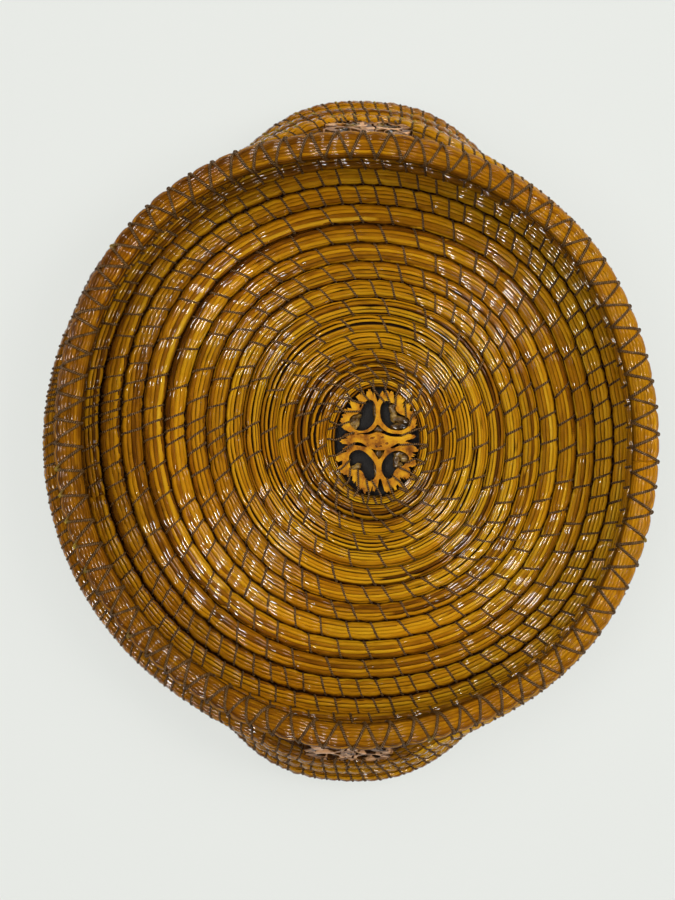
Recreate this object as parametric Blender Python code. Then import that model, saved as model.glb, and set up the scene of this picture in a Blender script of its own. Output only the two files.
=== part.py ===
"""A coiled pine needle basket with a walnut slice at its centre and one in each of its two lugs.

Units are metres, +Z is up. The basket stands on the ground plane, its origin is under the middle of its
widest outline, +Y points to the back lug and +X to the side where the wall stands straightest.

One bundle of needles makes the whole basket. Here it is cut where its job changes: the flat base, the wall
and the fat rim. A turn of it is counted by two numbers that grow together: the row, which is the number of
turns from the slice, and the climb, which is 0 on the outermost flat row and 1 on the first row of the wall.
Seen from above the bundle winds outward clockwise, so every angle is counted clockwise from +X.
"""

import math

import bmesh
import bpy
import numpy as np

MM = 0.001

# How far the coil's axis lies to the right of the middle of the outline, which the bulging left wall widens
AXIS_OFFSET = 2.1 * MM

# The centre slice, its backing and the flat base
SLICE_WIDTH = 29.0 * MM
SLICE_LENGTH = 37.6 * MM
SLICE_THICKNESS = 3.2 * MM
SLICE_LIFT = 1.8 * MM
SLICE_OFFSET = 7.2 * MM
BACKING_THICKNESS = 1.0 * MM
BACKING_OVERLAP = 1.2 * MM
FIRST_TURN_DIAMETER = 2.8 * MM
BASE_RADIUS = 93.5 * MM
BASE_TURNS = 13
# Two places where the basket swells out of a circle: its middle, where it starts and ends, and its size
SWELL_ANGLES = ((310.0, 270.0, 350.0), (44.0, -2.0, 90.0))
SWELLS = (2.3 * MM, 3.0 * MM)
COIL_GAP = 0.45 * MM
LARGEST_COIL = 7.0 * MM
PIECE_GAP = 0.3 * MM

# The wall, whose rows stand closer and steeper on the right than on the left
WALL_PITCH_LEFT = 6.8 * MM
WALL_PITCH_RIGHT = 5.9 * MM
WALL_ANGLES_LEFT = (34.0, 60.0, 79.0, 93.0)
WALL_ANGLES_RIGHT = (52.0, 72.0, 84.0, 92.0)
WALL_TURNS = 4
LOWEST_LUG_ROW = 2

# The rim, which swells once more on its own, and its lacing
RIM_OUTSET = 3.55 * MM
RIM_SWELL_ANGLES = (233.0, 175.0, 270.0)
RIM_SWELL = 4.4 * MM
RIM_DIAMETER = 8.3 * MM
RIM_RISE_HALF_WIDTH = 62.0 * MM
LACING_COUNT = 74
LACING_DIAMETER = 0.8 * MM
# A leg of a V over the rim: half turns from straight up, outward, and reach as a share of the thread's own
LACING_SHARES = ((-0.53, 1.03), (-0.18, 1.13), (0.18, 1.13), (0.53, 1.03))
# Each leg takes this middle share of the step from one V's end to the next, so that no two legs meet
LEG_SHARE = 0.76

# The lugs and their slices
LUG_HEIGHT = 9.0 * MM
LUG_PITCH = 6.2 * MM
LUG_ROW_ANGLE = 33.0
WINDOW_HALF_WIDTH = 34.0 * MM
LUG_FAN = 8.0 * MM
HANDLE_SLICE_WIDTH = 30.0 * MM
HANDLE_SLICE_HEIGHT = 22.4 * MM
HANDLE_SLICE_THICKNESS = 4.0 * MM
HANDLE_ANGLE = 22.3

# The ties
TIE_DIAMETER = 0.75 * MM
CENTRE_TIES = 22
TIE_GRIP = 2.6 * MM
HANDLE_TIES = 5
HANDLE_TIE_SPACING = 4.6 * MM
# Where a handle tie bends and ends beside the row: shares of its way round it, upward and outward
HANDLE_TIE_SHARES = ((0.55, 1.0), (-0.4, 1.0))

# How the coil goes round, in degrees. In each turn it moves out by a row between two angles. The first time
# it does so early, to pass outside its own start, and after some turns it keeps to the row step's angles.
COIL_START_ANGLE = 180.0
FIRST_STEP_ANGLES = (80.0, 185.0)
ROW_STEP_ANGLES = (118.0, 262.0)
EARLY_TURNS = 7
CLIMB_STEP_ANGLES = (165.0, 240.0)
SETTLING_ANGLES = (400.0, 560.0)
COIL_END_ANGLE = 202.5
RIM_JOINT_ANGLE = 204.0
JOINT_STRAIGHT = 7.0 * MM
BASE_ANGLE_STEP = 15.0
WALL_ANGLE_STEP = 7.5
LUG_STEP_SHARE = 0.5
RIM_ANGLE_STEP = 6.0

# Shares and exponents that give the forms their character
SPREAD_EXPONENT = 1.14
WINDOW_EXPONENT = 1.45
RISE_SHARES = (0.5, 0.75, 1.0)
COIL_PROFILE_SHARES = ((-0.6, -0.8), (0.6, -0.8), (0.98, 0.15), (0.5, 0.86), (-0.5, 0.86), (-0.98, 0.15))
ROUND_PROFILE_SHARES = ((0.0, -1.0), (0.87, -0.5), (0.87, 0.5), (0.0, 1.0), (-0.87, 0.5), (-0.87, -0.5))
CAVITY_SHARES = (
    (0.1, 0.2), (0.3, 0.13), (0.56, 0.17), (0.68, 0.32), (0.6, 0.52), (0.4, 0.7), (0.2, 0.75), (0.11, 0.5),
)
SCALLOP_SHARE = 0.035
SCALLOP_COUNT = 15
FLAT_SHARE = 0.8

# Name, colour, roughness of each finish
NEEDLES = ("pine_needles", (0.47, 0.25, 0.06), 0.34)
SHELL = ("walnut_shell", (0.52, 0.30, 0.07), 0.42)
THREAD = ("waxed_thread", (0.12, 0.065, 0.035), 0.5)
FELT = ("dark_backing", (0.012, 0.011, 0.011), 0.9)


def clear_scene():
    for obj in list(bpy.data.objects):
        bpy.data.objects.remove(obj)


def finish_of(kind):
    """The material of this kind, made once."""
    name, colour, roughness = kind
    material = bpy.data.materials.get(name)
    if material is None:
        material = bpy.data.materials.new(name)
        material.use_nodes = True
        shader = material.node_tree.nodes["Principled BSDF"]
        shader.inputs["Base Color"].default_value = (*colour, 1.0)
        shader.inputs["Roughness"].default_value = roughness
        shader.inputs["Metallic"].default_value = 0.0
    return material


def smooth(x):
    """0 below 0, 1 above 1, and a soft step between them."""
    x = min(max(x, 0.0), 1.0)
    return x * x * (3.0 - 2.0 * x)


def step_done(degrees, span):
    return smooth((degrees - span[0]) / (span[1] - span[0]))


def blend(a, b, t):
    return a + (b - a) * t


def on_circle(radius, degrees):
    angle = math.radians(degrees)
    return np.array([radius * math.cos(angle), -radius * math.sin(angle)])


def swell_share(degrees, angles):
    """1 at the middle of a swell, 0 where it starts and ends."""
    middle, start, end = angles
    off = (degrees - middle + 180.0) % 360.0 - 180.0
    share = off / (end - middle if off > 0 else start - middle)
    return 0.5 + 0.5 * math.cos(math.pi * min(share, 1.0))


def base_radius(degrees):
    return BASE_RADIUS + sum(size * swell_share(degrees, angles) for size, angles in zip(SWELLS, SWELL_ANGLES))


def rim_radius(degrees):
    return base_radius(degrees) + RIM_OUTSET + RIM_SWELL * swell_share(degrees, RIM_SWELL_ANGLES)


# The coil's path

def right_share(degrees):
    """1 at the right of the basket, 0 at its left."""
    return 0.5 + 0.5 * math.cos(math.radians(degrees))


def wall_pitch(degrees):
    return blend(WALL_PITCH_LEFT, WALL_PITCH_RIGHT, right_share(degrees))


def wall_coil_radius(degrees):
    return (wall_pitch(degrees) - COIL_GAP) / 2


def wall_row(row, degrees):
    """Radius and height of a whole row of the plain wall, counted from the outermost flat row."""
    radius = base_radius(degrees)
    height = FLAT_SHARE * wall_coil_radius(degrees)
    for left, right in zip(WALL_ANGLES_LEFT[:row], WALL_ANGLES_RIGHT[:row]):
        slope = math.radians(blend(left, right, right_share(degrees)))
        radius += wall_pitch(degrees) * math.cos(slope)
        height += wall_pitch(degrees) * math.sin(slope)
    return np.array([radius, height])


def rim_seat(degrees):
    """Height of the rim's middle when it lies on the wall's top row."""
    radius, height = wall_row(WALL_TURNS, degrees)
    reach = wall_coil_radius(degrees) + RIM_DIAMETER / 2 + COIL_GAP
    return height + math.sqrt(max(reach**2 - (radius - rim_radius(degrees)) ** 2, 0.0))


def leaning(degrees):
    """The direction down and outward that leans so far out."""
    return np.array([math.sin(math.radians(degrees)), -math.cos(math.radians(degrees))])


RIM_RADIUS = BASE_RADIUS + RIM_OUTSET
LUG_COIL_RADIUS = (LUG_PITCH - COIL_GAP) / 2
WINDOW_REACH = HANDLE_SLICE_HEIGHT + LUG_COIL_RADIUS + RIM_DIAMETER / 2 + 2 * COIL_GAP


def lug_row(row):
    """Radius and height of a row at the middle of a lug, up to the one under the slice."""
    top_row = np.array([RIM_RADIUS + WINDOW_REACH * leaning(HANDLE_ANGLE)[0], 0.0])
    place = top_row + (WALL_TURNS - row) * LUG_PITCH * leaning(LUG_ROW_ANGLE)
    lowest = (WALL_TURNS - LOWEST_LUG_ROW) * LUG_PITCH * leaning(LUG_ROW_ANGLE)[1]
    return place + np.array([0.0, LUG_HEIGHT - lowest])


def lug_rim_height():
    return lug_row(WALL_TURNS)[1] - WINDOW_REACH * leaning(HANDLE_ANGLE)[1]


def along_from_lug(degrees):
    """Length along the rim's circle from the middle of the nearer lug."""
    off = abs((degrees % 180.0) - 90.0)
    return math.radians(off) * RIM_RADIUS


def rim_rise_share(degrees):
    along = along_from_lug(degrees) / RIM_RISE_HALF_WIDTH
    return 0.5 + 0.5 * math.cos(math.pi * min(along, 1.0))


def rim_height(degrees):
    return rim_seat(degrees) + (lug_rim_height() - rim_seat(90.0)) * rim_rise_share(degrees)


def lug_share(row, degrees):
    """How far a row has left the plain wall: 1 at the lug's middle, 0 where it rejoins the wall."""
    half_width = WINDOW_HALF_WIDTH + (WALL_TURNS - row) * LUG_FAN
    along = min(along_from_lug(degrees) / half_width, 1.0)
    return 1.0 - math.sin(math.pi / 2 * along) ** (2 * WINDOW_EXPONENT)


def row_place(row, degrees):
    """Radius and height of a whole row at this angle, lugs included."""
    plain = wall_row(row, degrees)
    if row < LOWEST_LUG_ROW:
        return plain
    plain[1] += (rim_height(degrees) - rim_seat(degrees)) * RISE_SHARES[row - LOWEST_LUG_ROW]
    return blend(plain, lug_row(row), lug_share(row, degrees))


def climb_place(climb, degrees):
    row = min(int(math.floor(climb)), WALL_TURNS)
    upper = min(row + 1, WALL_TURNS)
    return blend(row_place(row, degrees), row_place(upper, degrees), climb - row)


def first_turn_place(degrees):
    """The first turn hugs the slice."""
    hug = COIL_GAP + FIRST_TURN_DIAMETER / 2
    angle = math.radians(degrees)
    x = SLICE_OFFSET + (SLICE_WIDTH / 2 + hug) * math.cos(angle)
    y = (SLICE_LENGTH / 2 + hug) * math.sin(angle)
    return np.array([x, -y])


def row_after(travelled):
    """The row that the coil has reached: 1 beside the slice, and one more for each step outward."""
    row = 1.0
    for turn in range(1, BASE_TURNS + WALL_TURNS + 1):
        late = min((turn - 1) / (EARLY_TURNS - 1), 1.0)
        span = [360.0 * turn + blend(*angles, late) for angles in zip(FIRST_STEP_ANGLES, ROW_STEP_ANGLES)]
        row += step_done(travelled, span)
    return row


def coil_place(travelled):
    """Point of the coil after this many degrees, and its climb, which is below 0 on the base."""
    degrees = travelled % 360.0
    turn = math.floor((travelled - ROW_STEP_ANGLES[0]) / 360.0)
    early = degrees < ROW_STEP_ANGLES[0]
    row_done = 1.0 if early else step_done(degrees, ROW_STEP_ANGLES)
    climb_done = 1.0 if early else step_done(degrees, CLIMB_STEP_ANGLES)
    climb = turn + climb_done - BASE_TURNS
    if travelled > 360.0 * (BASE_TURNS + WALL_TURNS) + CLIMB_STEP_ANGLES[0]:
        climb = WALL_TURNS
    if climb > 0:
        radius, height = climb_place(climb, degrees)
        return np.array([*on_circle(radius, degrees), height]), climb
    flat_rows = BASE_TURNS + row_done - climb_done - 1
    spread = ((row_after(travelled) - 1.0) / flat_rows) ** SPREAD_EXPONENT
    flat = blend(first_turn_place(degrees), on_circle(base_radius(degrees), degrees), spread)
    height = FLAT_SHARE * wall_coil_radius(degrees)
    return np.array([*flat, height]), climb


def coil_stops():
    """The angles at which the coil's points lie: the base's, then the wall's."""
    foot = 360.0 * BASE_TURNS + CLIMB_STEP_ANGLES[0]
    end = 360.0 * (BASE_TURNS + WALL_TURNS) + COIL_END_ANGLE
    straight = math.degrees(JOINT_STRAIGHT / BASE_RADIUS)
    base = np.arange(COIL_START_ANGLE, foot - BASE_ANGLE_STEP / 2, BASE_ANGLE_STEP)
    wall = []
    stop = foot + 1.5 * WALL_ANGLE_STEP
    while stop < end + WALL_ANGLE_STEP / 2:
        wall.append(stop)
        near_lug = along_from_lug(stop) < RIM_RISE_HALF_WIDTH
        stop += WALL_ANGLE_STEP * (LUG_STEP_SHARE if near_lug else 1.0)
    return np.append(base, (foot - straight, foot)), np.append((foot, foot + straight), wall)


def distances(points, starts, ends):
    """Distance from each point to each stretch."""
    run = ends - starts
    offset = points[:, None] - starts[None]
    share = (offset * run).sum(axis=2) / (run**2).sum(axis=1)
    nearest = starts + np.clip(share, 0.0, 1.0)[:, :, None] * run
    return np.linalg.norm(points[:, None] - nearest, axis=2)


def other_turn_distances(points, stops):
    """Distance from each point to each stretch of the coil's other turns."""
    away = distances(points, points[:-1], points[1:])
    middles = (stops[:-1] + stops[1:]) / 2
    away[np.abs(stops[:, None] - middles[None]) < 180.0] = np.inf
    return away


def fitted_coil():
    """Points and radius of the whole coil, each turn as thick as its neighbours leave room for."""
    base_stops, wall_stops = coil_stops()
    stops = np.concatenate([base_stops, wall_stops[1:]])
    places = [coil_place(stop) for stop in stops]
    points = np.array([place for place, climb in places])
    climbs = np.array([climb for place, climb in places])
    joint = len(base_stops) - 1
    straight = JOINT_STRAIGHT * np.array([*on_circle(1.0, stops[joint] + 90.0), 0.0])
    points[joint - 1] = points[joint] - straight
    points[joint + 1] = points[joint] + straight
    away = other_turn_distances(points, stops)
    first = stops < COIL_START_ANGLE + 360.0 - BASE_ANGLE_STEP
    room = (away - COIL_GAP) / 2
    beside_first = np.ix_(~first, first[1:])
    room[beside_first] = away[beside_first] - FIRST_TURN_DIAMETER / 2 - COIL_GAP
    radii = np.minimum(room.min(axis=1), LARGEST_COIL / 2)
    radii[first] = np.minimum(radii[first], FIRST_TURN_DIAMETER / 2)
    rim = rim_points()
    to_rim = distances(points, rim[:-1], rim[1:]).min(axis=1)
    radii = np.minimum(radii, to_rim - RIM_DIAMETER / 2 - COIL_GAP)
    flat = climbs <= 0
    points[flat, 2] = FLAT_SHARE * radii[flat]
    settled = np.array([step_done(stop - COIL_START_ANGLE, SETTLING_ANGLES) for stop in stops])
    points[flat, 2] = blend(SLICE_LIFT + SLICE_THICKNESS / 2, points[flat, 2], settled[flat])
    print(f"the coil is {2 * radii.min() / MM:.2f} to {2 * radii.max() / MM:.2f} mm thick")
    return points, radii, len(base_stops)


def rim_points():
    stops = np.arange(RIM_JOINT_ANGLE, RIM_JOINT_ANGLE + 360.0 + RIM_ANGLE_STEP / 2, RIM_ANGLE_STEP)
    return np.array([[*on_circle(rim_radius(stop), stop), rim_height(stop % 360.0)] for stop in stops])


def shortened(points, start_cut, end_cut):
    """The path with its ends drawn back along their own stretches."""
    points = points.copy()
    first = points[1] - points[0]
    last = points[-2] - points[-1]
    points[0] += first / np.linalg.norm(first) * start_cut
    points[-1] += last / np.linalg.norm(last) * end_cut
    return points


# Solids

def swept(name, points, radii, profile_shares, finish):
    """A closed tube along the points, its profile kept upright, moved to the basket's middle."""
    ahead = np.gradient(points, axis=0)
    ahead /= np.linalg.norm(ahead, axis=1)[:, None]
    sideways = np.cross(ahead, (0.0, 0.0, 1.0))
    sideways /= np.linalg.norm(sideways, axis=1)[:, None]
    upward = np.cross(sideways, ahead)
    body = bmesh.new()
    rings = []
    for point, radius, side, up in zip(points, radii, sideways, upward):
        corners = [point + radius * (x * side + y * up) for x, y in profile_shares]
        rings.append([body.verts.new(corner) for corner in corners])
    for ring, after in zip(rings, rings[1:]):
        for i in range(len(ring)):
            j = (i + 1) % len(ring)
            body.faces.new((ring[i], ring[j], after[j], after[i]))
    body.faces.new(rings[0])
    body.faces.new(rings[-1])
    bmesh.ops.recalc_face_normals(body, faces=body.faces)
    mesh = bpy.data.meshes.new(name)
    body.to_mesh(mesh)
    body.free()
    mesh.shade_smooth()
    mesh.set_sharp_from_angle(angle=math.radians(50.0))
    return placed(name, mesh, finish)


def placed(name, data, finish):
    obj = bpy.data.objects.new(name, data)
    obj.location = (AXIS_OFFSET, 0.0, 0.0)
    data.materials.append(finish_of(finish))
    bpy.context.scene.collection.objects.link(obj)
    return obj


def thread(name, points, diameter, closed=False):
    """A thread along the points: four-sided, its ends capped."""
    curve = bpy.data.curves.new(name, "CURVE")
    curve.dimensions = "3D"
    curve.bevel_depth = diameter / 2
    curve.bevel_resolution = 0
    curve.use_fill_caps = not closed
    spline = curve.splines.new("POLY")
    spline.points.add(len(points) - 1)
    spline.use_cyclic_u = closed
    for target, point in zip(spline.points, points):
        target.co = (*point, 1.0)
    return placed(name, curve, THREAD)


def outline_spline(curve, points):
    spline = curve.splines.new("POLY")
    spline.points.add(len(points) - 1)
    spline.use_cyclic_u = True
    for target, (x, y) in zip(spline.points, points):
        target.co = (x, y, 0.0, 1.0)


def oval(width, length, count, scallop_share=0.0):
    points = []
    for i in range(count):
        angle = 2 * math.pi * i / count
        swell = 1.0 - scallop_share * (i % 2)
        points.append((width / 2 * swell * math.cos(angle), length / 2 * swell * math.sin(angle)))
    return points


def walnut_slice(name, width, length, thickness):
    """A cross-cut slice: a scalloped oval with four open cavities round a cross of shell."""
    curve = bpy.data.curves.new(name, "CURVE")
    curve.dimensions = "2D"
    curve.fill_mode = "BOTH"
    curve.extrude = thickness / 2
    outline_spline(curve, oval(width, length, 2 * SCALLOP_COUNT, SCALLOP_SHARE))
    for across in (-1, 1):
        for up in (-1, 1):
            outline_spline(curve, [(across * x * width / 2, up * y * length / 2) for x, y in CAVITY_SHARES])
    return placed(name, curve, SHELL)


def make_base():
    piece = walnut_slice("centre_slice", SLICE_WIDTH, SLICE_LENGTH, SLICE_THICKNESS)
    piece.location.x += SLICE_OFFSET
    piece.location.z = SLICE_LIFT + SLICE_THICKNESS / 2
    curve = bpy.data.curves.new("slice_backing", "CURVE")
    curve.dimensions = "2D"
    curve.fill_mode = "BOTH"
    curve.extrude = BACKING_THICKNESS / 2
    spare = 2 * BACKING_OVERLAP
    outline_spline(curve, oval(SLICE_WIDTH + spare, SLICE_LENGTH + spare, 2 * SCALLOP_COUNT))
    backing = placed("slice_backing", curve, FELT)
    backing.location.x += SLICE_OFFSET
    backing.location.z = SLICE_LIFT - PIECE_GAP - BACKING_THICKNESS / 2


def make_coil():
    points, radii, base_count = fitted_coil()
    base = shortened(points[:base_count], 0.0, PIECE_GAP)
    swept("base_coil", base, radii[:base_count], COIL_PROFILE_SHARES, NEEDLES)
    swept("wall_coil", points[base_count - 1:], radii[base_count - 1:], COIL_PROFILE_SHARES, NEEDLES)
    rim = shortened(rim_points(), PIECE_GAP / 2, PIECE_GAP / 2)
    swept("rim_coil", rim, np.full(len(rim), RIM_DIAMETER / 2), ROUND_PROFILE_SHARES, NEEDLES)


def make_lacing():
    """A row of Vs: from the rim's inner side over its top to the outer side and back."""
    clear = RIM_DIAMETER / 2 + PIECE_GAP + LACING_DIAMETER
    points = []
    for i in range(2 * LACING_COUNT):
        leg = LACING_SHARES if i % 2 == 0 else LACING_SHARES[::-1]
        for j, (turn_share, reach_share) in enumerate(leg):
            done = (1.0 - LEG_SHARE) / 2 + LEG_SHARE * j / (len(leg) - 1)
            degrees = 360.0 * (i + done) / (2 * LACING_COUNT)
            lean = math.pi * turn_share
            radius = rim_radius(degrees) + clear * reach_share * math.sin(lean)
            height = rim_height(degrees) + clear * reach_share * math.cos(lean)
            points.append((*on_circle(radius, degrees), height))
    thread("rim_lacing", points, LACING_DIAMETER, closed=True)


def make_centre_ties():
    """Each tie runs from the slice's face over the first turn into the groove after it."""
    lift = PIECE_GAP + TIE_DIAMETER / 2
    top = SLICE_LIFT + SLICE_THICKNESS + lift
    reach = COIL_GAP + FIRST_TURN_DIAMETER
    for i in range(CENTRE_TIES):
        degrees = 360.0 * (i + 0.5) / CENTRE_TIES
        angle = math.radians(degrees)
        aim = np.array([math.cos(angle), math.sin(angle)])
        edge = np.array([SLICE_OFFSET, 0.0]) + np.array([SLICE_WIDTH / 2, SLICE_LENGTH / 2]) * aim
        inner = edge - TIE_GRIP * aim
        outer = edge + reach * aim
        points = [(*inner, top), (*edge, top), (*outer, top)]
        thread(f"centre_tie_{i + 1:02d}", points, TIE_DIAMETER)


def make_handle(side, name):
    """The slice in a lug's window, between the lug's top row and the rim, with its ties."""
    foot = lug_row(WALL_TURNS)
    lean = leaning(HANDLE_ANGLE)
    to_middle = (LUG_COIL_RADIUS + COIL_GAP + HANDLE_SLICE_HEIGHT / 2) * -lean
    radius, height = foot + to_middle
    size = (HANDLE_SLICE_WIDTH, HANDLE_SLICE_HEIGHT, HANDLE_SLICE_THICKNESS)
    piece = walnut_slice(f"handle_slice_{name}", *size)
    piece.location = (AXIS_OFFSET, side * radius, height)
    piece.rotation_euler = (math.radians(90.0 + side * HANDLE_ANGLE), 0.0, 0.0)
    outward = np.array([-lean[1], lean[0]])
    upward = -lean
    for i in range(HANDLE_TIES):
        across = (i - (HANDLE_TIES - 1) / 2) * HANDLE_TIE_SPACING
        degrees = 90.0 - math.degrees(across / foot[0])
        row_radius, row_height = row_place(WALL_TURNS, degrees)
        row = np.array([row_radius * math.sin(math.radians(degrees)), row_height])
        drop = HANDLE_SLICE_HEIGHT / 2 * math.sqrt(1.0 - (2 * across / HANDLE_SLICE_WIDTH) ** 2)
        edge = np.array([radius, height]) - drop * upward
        face = HANDLE_SLICE_THICKNESS / 2 + PIECE_GAP + TIE_DIAMETER
        side_of_row = LUG_COIL_RADIUS + PIECE_GAP + TIE_DIAMETER
        path = [
            edge + TIE_GRIP * upward + face * outward,
            *(row + side_of_row * (up * upward + out * outward) for up, out in HANDLE_TIE_SHARES),
        ]
        points = [(across, side * r, z) for r, z in path]
        thread(f"handle_tie_{name}_{i + 1}", points, TIE_DIAMETER)


def build():
    clear_scene()
    make_base()
    make_coil()
    make_lacing()
    make_centre_ties()
    for side, name in ((1, "back"), (-1, "front")):
        make_handle(side, name)


build()
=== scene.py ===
# %% [markdown]
# A coiled pine needle basket, seen from straight above.
#
# The real basket is one bundle of needles that winds outward from a slice of walnut shell, climbs into a
# wall, bends out into two lugs with a slice in each, and ends as a fat rim. A waxed thread sews every turn
# to the one before. This script loads the basket's plain solids, which give its place and size, and dresses
# them: every needle, every stitch and the shell's spikes are modelled here.

# %% Load the solids
import math
import bpy
import numpy as np
from mathutils import Matrix, Vector, noise


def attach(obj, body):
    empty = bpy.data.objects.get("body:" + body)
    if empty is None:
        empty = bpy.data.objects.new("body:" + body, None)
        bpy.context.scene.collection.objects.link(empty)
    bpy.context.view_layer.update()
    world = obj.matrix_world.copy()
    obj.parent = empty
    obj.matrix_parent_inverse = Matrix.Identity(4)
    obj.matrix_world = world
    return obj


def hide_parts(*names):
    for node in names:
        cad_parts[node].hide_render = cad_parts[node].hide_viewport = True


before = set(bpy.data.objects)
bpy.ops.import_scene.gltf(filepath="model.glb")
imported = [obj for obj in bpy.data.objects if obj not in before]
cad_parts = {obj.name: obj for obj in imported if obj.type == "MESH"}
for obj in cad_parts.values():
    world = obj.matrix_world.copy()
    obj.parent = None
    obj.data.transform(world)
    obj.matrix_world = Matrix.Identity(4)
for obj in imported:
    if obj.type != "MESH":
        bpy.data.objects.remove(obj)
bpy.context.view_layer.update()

MM = 0.001

# %% [markdown]
# The camera. The photograph was taken from well above the basket: the rows of the floor show no tilt, and
# the rim hides nearly all of the wall. A long lens at 650 mm over the rim gives the same small difference
# in scale between the rim and the floor. The basket lies a little off the picture's middle and is turned
# by under two degrees, so the camera is moved and rolled, and the basket stays where it is.

# %% Camera
BASKET_X = 2.1 * MM
CAMERA_HEIGHT = 682 * MM
CAMERA_ROLL = 1.8
CAMERA_ASIDE = (-6.7 * MM, -3.1 * MM)
PICTURE_TALL = 900
FOCAL_PIXELS = 1934.5
SENSOR_TALL = 24.0

roll = Matrix.Rotation(math.radians(CAMERA_ROLL), 3, "Z")
lens = bpy.data.cameras.new("camera")
lens.sensor_fit = "VERTICAL"
lens.sensor_height = SENSOR_TALL
lens.lens = SENSOR_TALL * FOCAL_PIXELS / PICTURE_TALL
lens.clip_start = 0.01
camera = bpy.data.objects.new("camera", lens)
camera.location = Vector((BASKET_X, 0, CAMERA_HEIGHT)) + roll @ Vector((*CAMERA_ASIDE, 0))
camera.rotation_euler = (0, 0, math.radians(CAMERA_ROLL))
bpy.context.scene.collection.objects.link(camera)
bpy.context.scene.camera = camera
print(f"lens {lens.lens:.1f} mm, {camera.location.z * 1000:.0f} mm above the ground")

# %% [markdown]
# Materials are built from nodes. The arithmetic of a pattern is easier to read as an expression than as a
# row of boxes, so a small class wraps a socket: adding, subtracting, multiplying or dividing it puts in the
# Math node that does so. Every other node comes from one method.

# %% Shader helpers
class Value:
    """A number that varies over a surface. Arithmetic on it adds Math nodes."""

    def __init__(self, tree, socket):
        self.tree, self.socket = tree, socket

    def joined(self, operation, *terms):
        node = self.tree.nodes.new("ShaderNodeMath")
        node.operation = operation
        for slot, term in zip(node.inputs, terms):
            if isinstance(term, Value):
                self.tree.links.new(term.socket, slot)
            else:
                slot.default_value = term
        return Value(self.tree, node.outputs[0])

    def __add__(self, other):
        return self.joined("ADD", self, other)

    def __sub__(self, other):
        return self.joined("SUBTRACT", self, other)

    def __rsub__(self, other):
        return self.joined("SUBTRACT", other, self)

    def __mul__(self, other):
        return self.joined("MULTIPLY", self, other)

    def __truediv__(self, other):
        return self.joined("DIVIDE", self, other)

    __radd__, __rmul__ = __add__, __mul__

    def power(self, exponent):
        return self.joined("POWER", self, exponent)

    def wave(self):
        return self.joined("SINE", self)

    def size(self):
        return self.joined("ABSOLUTE", self)

    def held(self):
        """Kept from 0 to 1."""
        return self.joined("MINIMUM", self.joined("MAXIMUM", self, 0.0), 1.0)

    def above(self, edge, width):
        """0 below the edge, 1 above it, with a soft step of this width."""
        return ((self - (edge - width / 2)) / width).held()


class Finish:
    """A material with a Principled shader, and one method for all of its other nodes."""

    def __init__(self, name, **fixed):
        self.material = bpy.data.materials.new(name)
        self.material.use_nodes = True
        self.tree = self.material.node_tree
        self.shader = self.tree.nodes["Principled BSDF"]
        for socket, value in fixed.items():
            self.shader.inputs[socket.replace("_", " ").title().replace("Ior", "IOR")].default_value = value

    def add(self, kind, settings=None, **links):
        node = self.tree.nodes.new("ShaderNode" + kind)
        for key, value in (settings or {}).items():
            if key == "stops":
                ramp = node.color_ramp
                while len(ramp.elements) < len(value):
                    ramp.elements.new(1.0)
                for element, (place, colour) in zip(ramp.elements, value):
                    element.position = place
                    element.color = (*colour, 1.0)
            else:
                setattr(node, key, value)
        for key, value in links.items():
            self.join(node.inputs[int(key[1:]) if key[0] == "_" else key], value)
        return node

    def join(self, slot, value):
        if isinstance(value, Value):
            self.tree.links.new(value.socket, slot)
        elif isinstance(value, bpy.types.NodeSocket):
            self.tree.links.new(value, slot)
        elif isinstance(value, bpy.types.Node):
            self.tree.links.new(value.outputs[0], slot)
        else:
            slot.default_value = value

    def attribute(self, name):
        node = self.add("Attribute", {"attribute_name": name})
        return Value(self.tree, node.outputs["Fac"])

    def along_and_round(self):
        """The piece's own map: centimetres along a strand, and turns round it."""
        split = self.add("SeparateXYZ", _0=self.add("UVMap").outputs["UV"])
        return Value(self.tree, split.outputs[0]), Value(self.tree, split.outputs[1])

    def noise(self, scale, detail=2.0, x=None, y=None, z=None, vector=None, roughness=0.5):
        if vector is None:
            vector = self.add("CombineXYZ", _0=x, _1=y, _2=z)
        node = self.add("TexNoise", Vector=vector, Scale=scale, Detail=detail, Roughness=roughness)
        return Value(self.tree, node.outputs[0])

    def ramp(self, value, *stops):
        return self.add("ValToRGB", {"stops": stops}, _0=value).outputs[0]

    def mixed(self, share, first, second, blend="MIX"):
        node = self.add("Mix", {"data_type": "RGBA", "blend_type": blend})
        self.join(node.inputs["Factor"], share)
        for slot, colour in ((node.inputs[6], first), (node.inputs[7], second)):
            self.join(slot, (*colour, 1.0) if isinstance(colour, tuple) else colour)
        return node.outputs[2]

    def finish(self, colour=None, roughness=None, height=None, depth=None):
        if colour is not None:
            self.join(self.shader.inputs["Base Color"], colour)
        if roughness is not None:
            self.join(self.shader.inputs["Roughness"], roughness)
        if height is not None:
            bump = self.add("Bump", Height=height, Distance=depth, Strength=1.0)
            self.join(self.shader.inputs["Normal"], bump.outputs[0])
        print("finish", self.material.name, "with", len(self.tree.nodes), "nodes")
        return self.material
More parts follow.
